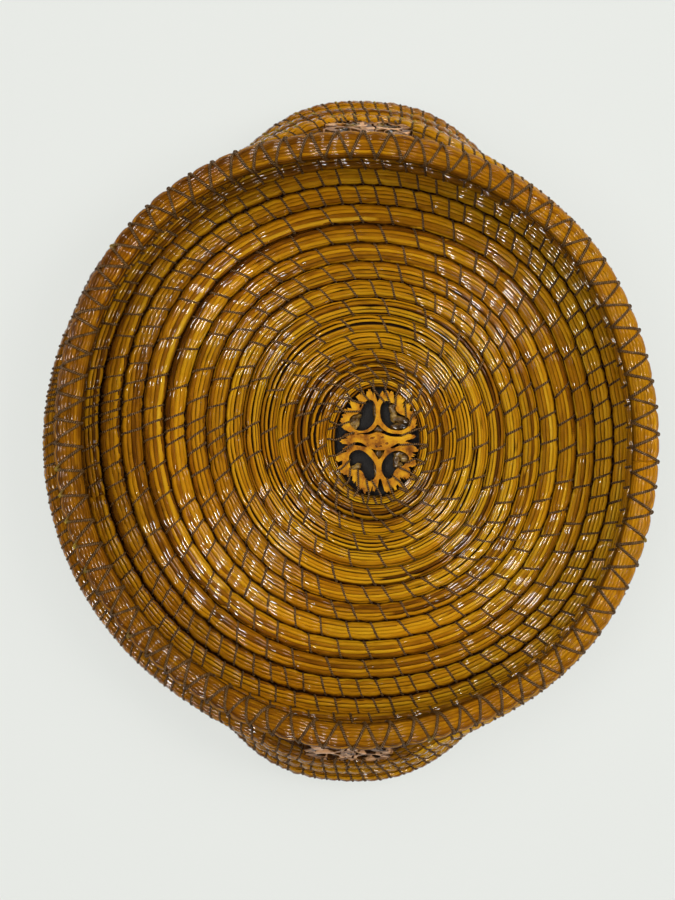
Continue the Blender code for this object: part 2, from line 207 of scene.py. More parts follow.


# %% [markdown]
# The needles are shellacked. Each has a shade of its own, from straw to dark brown, and darker ends.
# Painted shade darkens each needle along its edges, where it meets the next one, and low in the grooves
# between the turns. The shade, the dark ends with the painted groove shade, and how strong the painted edge
# shade is are stored on the mesh, one number for each point, and fine streaks follow the needle's length.
# The varnish is the shader's coat, thinner on the rim.

# %% Needles
NEEDLE_SHADES = (
    (0.0, (0.065, 0.019, 0.001)),
    (0.25, (0.21, 0.072, 0.002)),
    (0.5, (0.40, 0.168, 0.003)),
    (0.75, (0.51, 0.248, 0.006)),
    (1.0, (0.63, 0.365, 0.025)),
)
HUES = ((0.36, (1.0, 0.93, 0.8)), (0.5, (1.0, 1.0, 1.0)), (0.64, (0.95, 1.0, 1.0)))
NEEDLE_SHADOW = (0.025, 0.009, 0.002)
NEEDLE_RELIEF = 0.04 * MM


def needle_material(name, coat):
    needles = Finish(name, coat_weight=coat, coat_roughness=0.07, specular_ior_level=0.0)
    along, round_it = needles.along_and_round()
    shade = needles.attribute("shade")
    dark = needles.attribute("dark")
    line = needles.attribute("line")
    streaks = needles.noise(1.0, 3.0, x=along * 0.7, y=round_it * 9.0, z=shade * 60.0)
    blotches = needles.noise(1.0, 2.0, x=along * 1.6, y=shade * 40.0, z=round_it * 1.5)
    tone = (shade + (streaks - 0.5) * 0.32 + (blotches - 0.5) * 0.4).held()
    colour = needles.ramp(tone, *NEEDLE_SHADES)
    places = needles.noise(26.0, 2.0, vector=needles.add("TexCoord").outputs["Object"])
    colour = needles.mixed(1.0, colour, needles.ramp(places, *HUES), "MULTIPLY")
    # Painted shade: each needle's sides are mixed toward NEEDLE_SHADOW, as strongly as its line number
    # says; the dark number adds the dark ends and the painted groove shade.
    edge = ((round_it - 0.25).size() * 4.0).held()
    shadow = (edge.power(3.0) * line + dark).held()
    colour = needles.mixed(shadow, colour, NEEDLE_SHADOW)
    return needles.finish(colour, streaks * 0.25 + 0.28, streaks, NEEDLE_RELIEF)


NEEDLES = needle_material("pine_needles", 0.9)
RIM_NEEDLES = needle_material("rim_needles", 0.45)
# The core is coloured nearly black: painted shade for the inside of the bundle and the grooves.
core = Finish("bundle_core_painted_shade", base_color=(0.014, 0.006, 0.002, 1.0), roughness=0.9, specular_ior_level=0.05)
PAINTED_SHADE_CORE = core.finish()

# %% [markdown]
# The thread is two plies of waxed sinew twisted together. Its stitches are thin tubes, and the twist is a
# spiral across the tube's own map that raises the surface: dark brown, with a painted highlight along the
# crest of each ply. A few stitches near the rim are coloured by yellow-green wax, marked on the mesh by a
# number of its own.

# %% Waxed thread
thread_finish = Finish("waxed_thread", coat_weight=0.05, coat_roughness=0.3, specular_ior_level=0.06)
along, round_it = thread_finish.along_and_round()
ply = ((along * 14.0 + round_it * 2.0) * math.pi).wave().size()
fluff = thread_finish.noise(1.0, 2.0, x=along * 5.0, y=round_it * 3.0, z=0.0)
# Painted highlight: the crest of each ply is coloured pale, as the glint of the twist.
twist_with_painted_glints = thread_finish.ramp(
    (ply * 0.65 + fluff * 0.5 - 0.1).held(),
    (0.0, (0.010, 0.004, 0.001)),
    (0.62, (0.058, 0.025, 0.005)),
    (0.95, (0.34, 0.19, 0.075)),
)
WAX = (0.42, 0.27, 0.02)
PLY_RELIEF = 0.14 * MM
waxed_thread = thread_finish.mixed(thread_finish.attribute("wax"), twist_with_painted_glints, WAX)
THREAD = thread_finish.finish(waxed_thread, 0.42, ply, PLY_RELIEF)

# %% [markdown]
# The walnut shell is sawn across and varnished: golden where the saw cut it, brown in the walls of its
# cavities, with fine pores. On the slices of the handles pale wax has stayed here and there. Under the
# slice in the base is a matt black cloth. The lumps of inner skin in the cavities are greener and shinier.

# %% Shell, cloth and skin
SHELL_RELIEF, CLOTH_RELIEF = 0.25 * MM, 0.2 * MM
PALE_WAX = (0.70, 0.37, 0.17)


def shell_material(name, gloss, waxed, *stops):
    shell = Finish(name, coat_weight=gloss, coat_roughness=0.2, specular_ior_level=0.03)
    place = shell.add("TexCoord").outputs["Object"]
    clouds = shell.noise(260.0, 4.0, vector=place)
    pores = shell.noise(1900.0, 2.0, vector=place)
    sawn = shell.attribute("sawn")
    tone = (clouds * 2.0 + sawn * 0.4 - 0.78 - pores.above(0.64, 0.1) * 0.2).held()
    colour = shell.ramp(tone, *stops)
    wax = (shell.noise(230.0, 2.0, vector=place).above(0.56, 0.06) * waxed).held()
    colour = shell.mixed(wax, colour, PALE_WAX)
    return shell.finish(colour, 0.45, clouds * 0.6 + pores * 0.4, SHELL_RELIEF)


SHELL = shell_material(
    "walnut_shell", 0.1, 0.0,
    (0.0, (0.05, 0.015, 0.002)), (0.3, (0.20, 0.062, 0.004)), (0.55, (0.41, 0.155, 0.005)),
    (0.9, (0.57, 0.28, 0.006)),
)
# The handles' slices have a darker ramp than the slice in the base, all over.
WAXED_SHELL = shell_material(
    "waxed_shell", 0.3, 1.0,
    (0.0, (0.014, 0.005, 0.001)), (0.35, (0.07, 0.025, 0.004)), (0.6, (0.26, 0.09, 0.01)),
    (0.9, (0.42, 0.18, 0.02)),
)
SKIN = shell_material(
    "inner_skin", 0.8, 0.0,
    (0.0, (0.02, 0.009, 0.001)), (0.25, (0.09, 0.042, 0.006)), (0.6, (0.30, 0.18, 0.04)),
    (1.0, (0.55, 0.40, 0.15)),
)

cloth = Finish("dark_backing")
fibres = cloth.noise(3000.0, 3.0, vector=cloth.add("TexCoord").outputs["Object"])
black = cloth.ramp(fibres, (0.0, (0.002, 0.002, 0.001)), (1.0, (0.014, 0.010, 0.008)))
CLOTH = cloth.finish(black, 0.95, fibres, CLOTH_RELIEF)

# %% [markdown]
# The coil's path. The needles have to lie where the solids do, so the path is worked out again from the
# sizes that shaped them: 13 flat turns round the slice, four that climb into the wall, and the rim. Seen
# from above the coil winds outward clockwise. A place on it is named by the degrees travelled, counted
# clockwise from +X, and all of its points are worked out at once as arrays.

# %% Sizes of the coil
SLICE_WIDTH, SLICE_LENGTH, SLICE_THICKNESS = 29.0 * MM, 37.6 * MM, 3.2 * MM
SLICE_LIFT, SLICE_OFFSET = 1.8 * MM, 7.2 * MM
FIRST_TURN_DIAMETER = 2.8 * MM
BASE_RADIUS, BASE_TURNS, WALL_TURNS = 93.5 * MM, 13, 4
SWELL_ANGLES = ((310.0, 270.0, 350.0), (44.0, -2.0, 90.0))
SWELLS = (2.3 * MM, 3.0 * MM)
COIL_GAP = 0.45 * MM
WALL_PITCH_LEFT, WALL_PITCH_RIGHT = 6.8 * MM, 5.9 * MM
WALL_ANGLES_LEFT = (34.0, 60.0, 79.0, 93.0)
WALL_ANGLES_RIGHT = (52.0, 72.0, 84.0, 92.0)
RIM_OUTSET, RIM_DIAMETER, RIM_RISE_HALF_WIDTH = 3.55 * MM, 8.3 * MM, 62.0 * MM
RIM_SWELL_ANGLES, RIM_SWELL = (233.0, 175.0, 270.0), 4.4 * MM
LUG_HEIGHT, LUG_PITCH, LUG_ROW_ANGLE = 9.0 * MM, 6.2 * MM, 33.0
WINDOW_HALF_WIDTH, LUG_FAN = 34.0 * MM, 8.0 * MM
HANDLE_SLICE_WIDTH, HANDLE_SLICE_HEIGHT, HANDLE_SLICE_THICKNESS = 30.0 * MM, 22.4 * MM, 4.0 * MM
HANDLE_ANGLE = 22.3
COIL_START, LEAD_IN, COARSE_STEP = 180.0, 96.0, 3.0
SETTLING, FATTENING = (400.0, 560.0), (500.0, 560.0)
FIRST_STEP, ROW_STEP, EARLY_TURNS = (80.0, 185.0), (118.0, 262.0), 7
CLIMB_STEP, COIL_END = (165.0, 240.0), 202.5
SPREAD_EXPONENT, WINDOW_EXPONENT = 1.14, 1.45
RISE_SHARES = (0.0, 0.0, 0.5, 0.75, 1.0)
FLAT_SHARE = 0.8
REACHES = (0.02 * MM, 4.3 * MM)
WHOLE_COIL = 360.0 * (BASE_TURNS + WALL_TURNS)
print(f"{BASE_TURNS} flat turns, {WALL_TURNS} in the wall, {WHOLE_COIL:.0f} degrees in all")


# %% Steps and swells
def smooth(x):
    x = np.clip(x, 0.0, 1.0)
    return x * x * (3.0 - 2.0 * x)


def step_done(degrees, span):
    return smooth((degrees - span[0]) / (span[1] - span[0]))


def blend(a, b, share):
    return a + (b - a) * share


def on_circle(radius, degrees):
    angle = np.radians(degrees)
    return np.stack([radius * np.cos(angle), -radius * np.sin(angle)], -1)


def swell_share(degrees, angles):
    """1 at the middle of a swell, 0 where it starts and ends."""
    middle, start, end = angles
    off = (degrees - middle + 180.0) % 360.0 - 180.0
    share = off / np.where(off > 0, end - middle, start - middle)
    return 0.5 + 0.5 * np.cos(math.pi * np.minimum(share, 1.0))


def base_radius(degrees):
    swells = (size * swell_share(degrees, angles) for size, angles in zip(SWELLS, SWELL_ANGLES))
    return BASE_RADIUS + sum(swells)


def rim_radius(degrees):
    return base_radius(degrees) + RIM_OUTSET + RIM_SWELL * swell_share(degrees, RIM_SWELL_ANGLES)


# %% Rows of the wall
def wall_coil_radius(degrees):
    right_share = 0.5 + 0.5 * np.cos(np.radians(degrees))
    return (blend(WALL_PITCH_LEFT, WALL_PITCH_RIGHT, right_share) - COIL_GAP) / 2


def wall_row(row, degrees):
    """Radius and height of a row of the plain wall."""
    right_share = 0.5 + 0.5 * np.cos(np.radians(degrees))
    pitch = 2 * wall_coil_radius(degrees) + COIL_GAP
    place = np.stack([base_radius(degrees), FLAT_SHARE * wall_coil_radius(degrees)], -1)
    for left, right in zip(WALL_ANGLES_LEFT[:row], WALL_ANGLES_RIGHT[:row]):
        slope = np.radians(blend(left, right, right_share))
        place = place + np.stack([pitch * np.cos(slope), pitch * np.sin(slope)], -1)
    return place


def rim_seat(degrees):
    place = wall_row(WALL_TURNS, degrees)
    reach = wall_coil_radius(degrees) + RIM_DIAMETER / 2 + COIL_GAP
    return place[..., 1] + np.sqrt(np.maximum(reach**2 - (place[..., 0] - rim_radius(degrees)) ** 2, 0.0))


# %% Rows of the lugs
def leaning(degrees):
    return np.array([math.sin(math.radians(degrees)), -math.cos(math.radians(degrees))])


RIM_RADIUS = BASE_RADIUS + RIM_OUTSET
LUG_COIL_RADIUS = (LUG_PITCH - COIL_GAP) / 2
WINDOW_REACH = HANDLE_SLICE_HEIGHT + LUG_COIL_RADIUS + RIM_DIAMETER / 2 + 2 * COIL_GAP
LEAN, ROW_LEAN = leaning(HANDLE_ANGLE), leaning(LUG_ROW_ANGLE)


def lug_row(row):
    top = np.array([RIM_RADIUS + WINDOW_REACH * LEAN[0], 0.0]) + (WALL_TURNS - row) * LUG_PITCH * ROW_LEAN
    return top + np.array([0.0, LUG_HEIGHT - (WALL_TURNS - 2) * LUG_PITCH * ROW_LEAN[1]])


def along_from_lug(degrees):
    return np.radians(np.abs(degrees % 180.0 - 90.0)) * RIM_RADIUS


def rim_height(degrees):
    rise = lug_row(WALL_TURNS)[1] - WINDOW_REACH * LEAN[1] - rim_seat(np.array(90.0))
    share = 0.5 + 0.5 * np.cos(math.pi * np.minimum(along_from_lug(degrees) / RIM_RISE_HALF_WIDTH, 1.0))
    return rim_seat(degrees) + rise * share


def row_place(row, degrees):
    """Radius and height of a row, lugs included."""
    plain = wall_row(row, degrees)
    if row < 2:
        return plain
    plain[..., 1] += (rim_height(degrees) - rim_seat(degrees)) * RISE_SHARES[row]
    half_width = WINDOW_HALF_WIDTH + (WALL_TURNS - row) * LUG_FAN
    along = np.minimum(along_from_lug(degrees) / half_width, 1.0)
    share = 1.0 - np.sin(math.pi / 2 * along) ** (2 * WINDOW_EXPONENT)
    return blend(plain, lug_row(row), share[..., None])


# %% The spiral
def row_after(travelled):
    """The row that the coil has reached: 1 beside the slice, and one more for each step outward."""
    row = np.ones(len(travelled))
    for turn in range(1, BASE_TURNS + WALL_TURNS + 1):
        late = min((turn - 1) / (EARLY_TURNS - 1), 1.0)
        span = [360.0 * turn + blend(*angles, late) for angles in zip(FIRST_STEP, ROW_STEP)]
        row += step_done(travelled, span)
    return row


def begun(travelled):
    """The first needles lie down one by one, in the room that the coil leaves as it passes outside them."""
    return np.where(travelled < COIL_START, np.maximum(step_done(travelled, FIRST_STEP), 0.02), 1.0)


def coil_points(travelled):
    """Points of the coil after these degrees, and their climb: below 0 on the base, then the wall's row."""
    degrees = travelled % 360.0
    turn = np.floor((travelled - ROW_STEP[0]) / 360.0)
    row_done = np.where(degrees < ROW_STEP[0], 1.0, step_done(degrees, ROW_STEP))
    climb_done = np.where(degrees < ROW_STEP[0], 1.0, step_done(degrees, CLIMB_STEP))
    climb = turn + climb_done - BASE_TURNS
    climb = np.where(travelled > WHOLE_COIL + CLIMB_STEP[0], WALL_TURNS, climb)
    hug = COIL_GAP + FIRST_TURN_DIAMETER / 2 * begun(travelled)
    angle = np.radians(degrees)
    across = SLICE_OFFSET + (SLICE_WIDTH / 2 + hug) * np.cos(angle)
    first = np.stack([across, -(SLICE_LENGTH / 2 + hug) * np.sin(angle)], -1)
    spread = ((row_after(travelled) - 1) / (BASE_TURNS + row_done - climb_done - 1)) ** SPREAD_EXPONENT
    flat = blend(first, on_circle(base_radius(degrees), degrees), spread[:, None])
    rows = np.stack([row_place(row, degrees) for row in range(WALL_TURNS + 1)])
    lower = np.clip(np.floor(climb).astype(int), 0, WALL_TURNS)
    upper = np.minimum(lower + 1, WALL_TURNS)
    each = np.arange(len(travelled))
    wall = blend(rows[lower, each], rows[upper, each], (np.maximum(climb, 0.0) - lower)[:, None])
    plan = np.where(climb[:, None] > 0, on_circle(wall[:, 0], degrees), flat)
    height = np.where(climb > 0, wall[:, 1], FLAT_SHARE * wall_coil_radius(degrees))
    return np.column_stack([plan, height]), climb


def rim_points(degrees):
    return np.column_stack([on_circle(rim_radius(degrees), degrees), rim_height(degrees)])


# %% Turns that touch their neighbours
def nearest(points, line, allowed):
    """For each point, the nearest point of a line among its allowed stretches, and how far that is."""
    starts, run = line[:-1], np.diff(line, axis=0)
    share = ((points[:, None] - starts) * run).sum(2) / (run**2).sum(1)
    reached = starts + np.clip(share, 0.0, 1.0)[..., None] * run
    away = np.where(allowed, np.linalg.norm(points[:, None] - reached, axis=2), np.inf)
    best = away.argmin(1)
    each = np.arange(len(points))
    return reached[each, best], away[each, best]


def fitted_between(points, travelled):
    """Each turn fills the room between its neighbours: its middle line, and its radius."""
    ahead = (travelled[:-1] + travelled[1:])[None] / 2 - travelled[:, None]
    inner, before = nearest(points, points, ahead < -180.0)
    outer, after = nearest(points, points, ahead > 180.0)
    rim = rim_points(np.arange(0.0, 361.0, COARSE_STEP))
    rim_away = nearest(points, rim, True)[1] - RIM_DIAMETER / 2
    both = (travelled, travelled - 360.0)
    grown, grown_before = (step_done(turned, FATTENING) for turned in both)
    thin, thin_before = (FIRST_TURN_DIAMETER / 2 * begun(turned) for turned in both)
    inward = blend(before - thin_before, before / 2, grown_before)
    inward = np.where(both[1] < travelled[0], thin, inward)
    outward = np.where(np.isfinite(after), blend(thin, after / 2, grown), rim_away)
    outward = np.minimum(outward, rim_away)
    even = np.ones(5) / 5
    inward, outward = (np.pad(np.clip(reach, *REACHES), 2, "edge") for reach in (inward, outward))
    inward, outward = (np.convolve(reach, even, "valid") for reach in (inward, outward))
    across = outer - inner
    across /= np.maximum(np.linalg.norm(across, axis=1), MM)[:, None]
    across[~(np.isfinite(before) & np.isfinite(after))] = 0.0
    return points + (outward - inward)[:, None] / 2 * across, (outward + inward) / 2


coarse = np.arange(COIL_START - LEAD_IN, WHOLE_COIL + COIL_END, COARSE_STEP)
unfitted, coarse_climb = coil_points(coarse)
coarse_points, coarse_radii = fitted_between(unfitted, coarse)
coarse_length = np.append(0.0, np.cumsum(np.linalg.norm(np.diff(coarse_points, axis=0), axis=1)))
print(f"the coil is {coarse_length[-1]:.2f} m long and {2000 * np.median(coarse_radii):.1f} mm thick")

# %% [markdown]
# A bundle of needles is measured along its length. At every station it has a middle, a radius, and three
# directions: ahead, to the side (away from the basket's middle) and up. Everything that lies on it is
# placed by a length and by an angle round it, which is 0 on top and a quarter turn at the outer side. The
# section is between a circle and a square, flatter below, and drawn in where a stitch grips it.

# %% Bundles
GRIP_WIDTH = 1.3 * MM
UNDER_SHARE, TOP_SHARE = 0.69, 0.97
SQUARENESS = 0.26
ASIDE = np.array([BASKET_X, 0, 0])


def squared(x):
    """Pushes a round section towards a square one with soft corners."""
    return x * (1.0 + SQUARENESS * (1.0 - x * x))


class Bundle:
    """The middle line of a bundle, at even steps, with its directions and its radius."""

    def __init__(self, points, radii, step, under, loose, lopsided=0.0):
        self.lopsided = lopsided
        length = np.append(0.0, np.cumsum(np.linalg.norm(np.diff(points, axis=0), axis=1)))
        self.at = np.linspace(0.0, length[-1], int(length[-1] / step) + 1)
        self.middle = np.column_stack([np.interp(self.at, length, points[:, k]) for k in range(3)])
        self.radius = np.interp(self.at, length, radii)
        self.under = np.interp(self.at, length, under)
        self.loose = np.interp(self.at, length, loose)
        ahead = np.gradient(self.middle, axis=0)
        self.ahead = ahead / np.linalg.norm(ahead, axis=1)[:, None]
        side = np.cross((0.0, 0.0, 1.0), self.ahead)
        self.side = side / np.linalg.norm(side, axis=1)[:, None]
        self.up = np.cross(self.ahead, self.side)
        self.grip = np.zeros((0, 4))

    def lines(self, length, *names):
        """These of the bundle's points or directions, at these lengths."""
        threes = [getattr(self, name).T for name in names]
        return [np.stack([np.interp(length, self.at, each) for each in three], -1) for three in threes]

    def pinch(self, length, turn):
        """The share of its radius that the thread leaves the bundle here."""
        pull = np.zeros(np.broadcast(length, turn).shape)
        across = np.sin(turn)
        for at, inner, outer, depth in self.near_grips(length):
            middle = at + blend(inner, outer, 0.5 + 0.5 * across)
            depth = depth * (1.0 + self.lopsided * across)
            pull = np.maximum(pull, depth * np.exp(-(((length - middle) / GRIP_WIDTH) ** 2)))
        return 1.0 - pull

    def near_grips(self, length):
        """For each station, the two stitches on either side of it, as arrays."""
        if not len(self.grip):
            return
        places = self.grip[:, 0]
        here = np.searchsorted(places, length)
        for offset in (-2, -1, 0, 1):
            chosen = self.grip[np.clip(here + offset, 0, len(places) - 1)]
            yield chosen[..., 0], chosen[..., 1], chosen[..., 2], chosen[..., 3]

    def surface(self, length, turn, share=1.0, lift=0.0):
        """Points on the bundle's skin, and the skin's outward direction there."""
        middle, side, up = self.lines(length, "middle", "side", "up")
        radius = np.interp(length, self.at, self.radius) * share * self.pinch(length, turn) + lift
        under = np.interp(length, self.at, self.under)
        across, high = squared(np.sin(turn))[..., None], squared(np.cos(turn))
        squat = np.where(high < 0, high * under, high * TOP_SHARE)[..., None]
        outward = np.sin(turn)[..., None] * side + np.cos(turn)[..., None] * up
        return middle + radius[..., None] * (across * side + squat * up) + ASIDE, outward


coarse_under = blend(UNDER_SHARE, 1.0, np.clip(coarse_climb, 0.0, 1.0))
LOOSE_ROWS = (4.5, 9.5)
BASE_STATION, WALL_STATION, RIM_STATION = 2.1 * MM, 1.35 * MM, 1.2 * MM
coarse_loose = 1.0 - step_done(row_after(coarse), LOOSE_ROWS)
coil = Bundle(coarse_points, coarse_radii, BASE_STATION, coarse_under, coarse_loose)
settled = step_done(np.interp(coil.at, coarse_length, coarse) - COIL_START, SETTLING)
flat = np.interp(coil.at, coarse_length, coarse_climb) <= 0
low = FLAT_SHARE * coil.radius
coil.middle[flat, 2] = blend(SLICE_LIFT + SLICE_THICKNESS / 2, low, settled)[flat]
foot_at = float(np.interp(360.0 * BASE_TURNS + CLIMB_STEP[0], coarse, coarse_length))
print(f"{len(coil.at)} stations, the wall starts at {foot_at:.2f} m")

# %% [markdown]
# The stitches. Each is started beside a stitch of the turn before, a little further along, and leans back
# over the new turn, so they line up in curved rays. Three times, where the rays have spread too far, the
# maker has set a new stitch between every two old ones. The same rules place them here, one after another.

# %% Where the stitches go
FIRST_STITCHES, FIRST_STITCH = 21, 12.0
PLACE_ERROR, LEAN_ERROR = 0.07, 4.0
GRIP_DEPTH, GRIP_ERROR = 0.15, 0.025
DOUBLING_ROWS = (7, 12, 15)
DRIFT_ROWS, DRIFTS = (2.0, 7.0, 11.0, 13.0), (3.6, 2.2, 1.2, 0.5)
LEAN_ROWS, STITCH_LEANS = (1.0, 8.0, 13.0, 16.0), (32.0, 28.0, 21.0, 20.0)
rng = np.random.default_rng(7)


def stitch_places():
    """Degrees travelled at each stitch's middle, turn after turn, without and with its small error."""
    even = [COIL_START + FIRST_STITCH + 360.0 * i / FIRST_STITCHES for i in range(FIRST_STITCHES)]
    row_at = np.interp(np.arange(0.0, coarse[-1] + 400.0), coarse, row_after(coarse))
    doubling = [np.searchsorted(row_at, row - 0.5) for row in DOUBLING_ROWS]
    source = 0
    while even[-1] < coarse[-1]:
        row = row_at[int(even[source] + 360.0)]
        drift = np.interp(row, DRIFT_ROWS, DRIFTS)
        place = even[source] + 360.0 + drift
        if any(start <= place - drift < start + 360.0 + drift for start in doubling):
            even.append((even[-1] + place) / 2)
        even.append(place)
        source += 1
    even = np.array(even)
    places = even + rng.normal(0.0, PLACE_ERROR, len(even)) * np.gradient(even)
    return places[places < coarse[-1]]


stitches = stitch_places()
stitch_at = np.interp(stitches, coarse, coarse_length)
stitch_lean = np.interp(np.interp(stitches, coarse, row_after(coarse)), LEAN_ROWS, STITCH_LEANS)
stitch_lean += rng.normal(0.0, LEAN_ERROR, len(stitches))
half_shift = np.interp(stitch_at, coil.at, coil.radius) * np.tan(np.radians(stitch_lean))
grip_depth = rng.normal(GRIP_DEPTH, GRIP_ERROR, len(stitch_at))
coil.grip = np.column_stack([stitch_at, half_shift, -half_shift, grip_depth])
for turn in range(1, BASE_TURNS + WALL_TURNS + 1, 3):
    sewn = (stitches > 360.0 * turn) & (stitches < 360.0 * (turn + 1))
    print("stitches in turn", turn, int(sewn.sum()))

# %% [markdown]
# Strands. A needle and a thread are both a closed tube that follows a line, so one function makes them all:
# it takes, for each strand and station, a point, an outward and a sideways direction and two half widths,
# and joins the rings into one mesh with a cap on every end. It also writes the map along and round each
# strand and the numbers that the materials read.

# %% Tubes from rings
def tube_mesh(name, points, outward, sideways, half_wide, half_high, sides, along, numbers, material):
    """points: strands x stations x 3. A strand whose width is 0 at a station isn't there."""
    strands, stations = points.shape[:2]
    angle = 2 * math.pi * (np.arange(sides) + 0.5) / sides
    ring = (
        points[:, :, None]
        + (half_wide[..., None] * np.cos(angle))[..., None] * sideways[:, :, None]
        + (half_high[..., None] * np.sin(angle))[..., None] * outward[:, :, None]
    )
    vertex = np.arange(strands * stations * sides).reshape(strands, stations, sides)
    there = half_wide > 0
    spans = there[:, :-1] & there[:, 1:]
    here, after = vertex[:, :-1][spans], vertex[:, 1:][spans]
    quads = np.stack([here, np.roll(here, -1, 1), np.roll(after, -1, 1), after], -1).reshape(-1, 4)
    padded = np.pad(spans, ((0, 0), (1, 1)))
    starts = vertex[padded[:, 1:] & ~padded[:, :-1]][:, ::-1]
    ends = vertex[padded[:, :-1] & ~padded[:, 1:]]
    round_it = np.broadcast_to(np.arange(sides + 1) / sides, (strands, stations, sides + 1))
    along_all = np.broadcast_to(along[..., None] * 100.0, round_it.shape)
    maps = np.stack([along_all, round_it], -1)
    map_here, map_after = maps[:, :-1][spans], maps[:, 1:][spans]
    map_quads = np.stack([map_here[:, :-1], map_here[:, 1:], map_after[:, 1:], map_after[:, :-1]], 2)
    caps = np.concatenate([starts, ends])
    cap_map = maps[:, :, :-1].reshape(-1, 2)[caps.ravel()]
    uv = np.concatenate([map_quads.reshape(-1, 2), cap_map]).astype(np.float32)
    used = np.zeros(vertex.size, bool)
    used[quads] = True
    renumber = np.cumsum(used) - 1
    mesh = bpy.data.meshes.new(name)
    corners = np.concatenate([quads.ravel(), caps.ravel()])
    counts = np.concatenate([np.full(len(quads), 4), np.full(len(caps), sides)])
    mesh.vertices.add(int(used.sum()))
    mesh.vertices.foreach_set("co", ring.reshape(-1, 3)[used].astype(np.float32).ravel())
    mesh.loops.add(len(corners))
    mesh.loops.foreach_set("vertex_index", renumber[corners].astype(np.int32))
    mesh.polygons.add(len(counts))
    mesh.polygons.foreach_set("loop_start", (np.cumsum(counts) - counts).astype(np.int32))
    mesh.update(calc_edges=True)
    mesh.uv_layers.new(name="UVMap").data.foreach_set("uv", uv.ravel())
    for key, number in numbers.items():
        spread = np.broadcast_to(number[..., None], ring.shape[:3]).reshape(-1)[used]
        mesh.attributes.new(key, "FLOAT", "POINT").data.foreach_set("value", spread.astype(np.float32))
    mesh.polygons.foreach_set("use_smooth", np.ones(len(counts), bool))
    mesh.validate()
    mesh.materials.append(material)
    piece = bpy.data.objects.new(name, mesh)
    bpy.context.scene.collection.objects.link(piece)
    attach(piece, "root")
    mesh.calc_loop_triangles()
    print(f"{name}: {len(mesh.loop_triangles)} triangles")
    return piece


# %% [markdown]
# Laying the needles. A bundle shows its outer needles only, so those are modelled, side by side round it,
# and a plain core closes the space behind them, coloured nearly black as painted shade. Each needle wanders
# a little to either side and in height, and every 90 to 240 mm it thins out and the next one takes its
# place, in another shade. One in four wanders further and crosses its neighbours. Near the slice, where the
# coil is still thin, every second one is left out and the rest are as much wider.

# %% Random lines
NEEDLE_LENGTHS, FIRST_CUT = (0.09, 0.24), 0.15
SIDE_WANDER, UP_WANDER, UP_REACH = 38 * MM, 22 * MM, 0.1
ODD_CHANCE, ODD_DARKER = 0.07, 0.22
TIP_TAPER, TIP_SHADOW = 5 * MM, 2.5 * MM
# The slope paints light into the tone: needles are lighter toward +X and a little toward +Y.
LOOSE_TONE, PAINTED_LIGHT_SLOPE = 0.07, np.array([0.13, 0.035, 0.0])
THIN_COIL, FILLING = 1.7 * MM, 0.7 * MM
LAID_IN, CORE_IN = 0.3 * MM, 0.6 * MM
WIDEST_HALF, HIGHEST_HALF = 1.0 * MM, 0.42 * MM
COIL_NEEDLES, RIM_COIL_NEEDLES = 16, 24


def slow_noise(generator, stations, step, wavelength):
    """A smooth random line from about -1 to 1."""
    knots = int(stations * step / wavelength) + 4
    values = generator.uniform(-1.0, 1.0, knots)
    places = np.arange(stations) * step / wavelength
    lower = places.astype(int)
    return blend(values[lower], values[lower + 1], smooth(places - lower))


def shades_along(generator, run, loose, tone, spread, wander):
    """The needles that follow each other on one strand: their shade, dark tips, painted edge shade and
    thinness.
    """
    shade, dark, thin, line = np.zeros(len(run)), np.zeros(len(run)), np.ones(len(run)), np.zeros(len(run))
    start = -generator.uniform(0.0, FIRST_CUT)
    while start < run[-1]:
        end = start + generator.uniform(*NEEDLE_LENGTHS)
        mine = (run >= start) & (run < end)
        darker = ODD_DARKER if generator.random() < ODD_CHANCE else 0.0
        own = generator.normal(0.0, spread) * blend(0.8, 1.0, loose[mine])
        shade[mine] = np.clip(tone[mine] + own - darker, 0.04, 0.98)
        # How strong the painted shade along this needle's edges is.
        line[mine] = generator.uniform(0.3, 1.0) * wander + 0.2 * loose[mine]
        close = np.minimum(run - start, end - run)[mine]
        thin[mine] = blend(blend(0.8, 0.45, loose[mine]), 1.0, smooth(close / TIP_TAPER))
        dark[mine] = 0.5 * (1.0 - smooth(close / TIP_SHADOW)) * (0.4 + 0.6 * loose[mine])
        start = end
    return shade, dark, thin, line


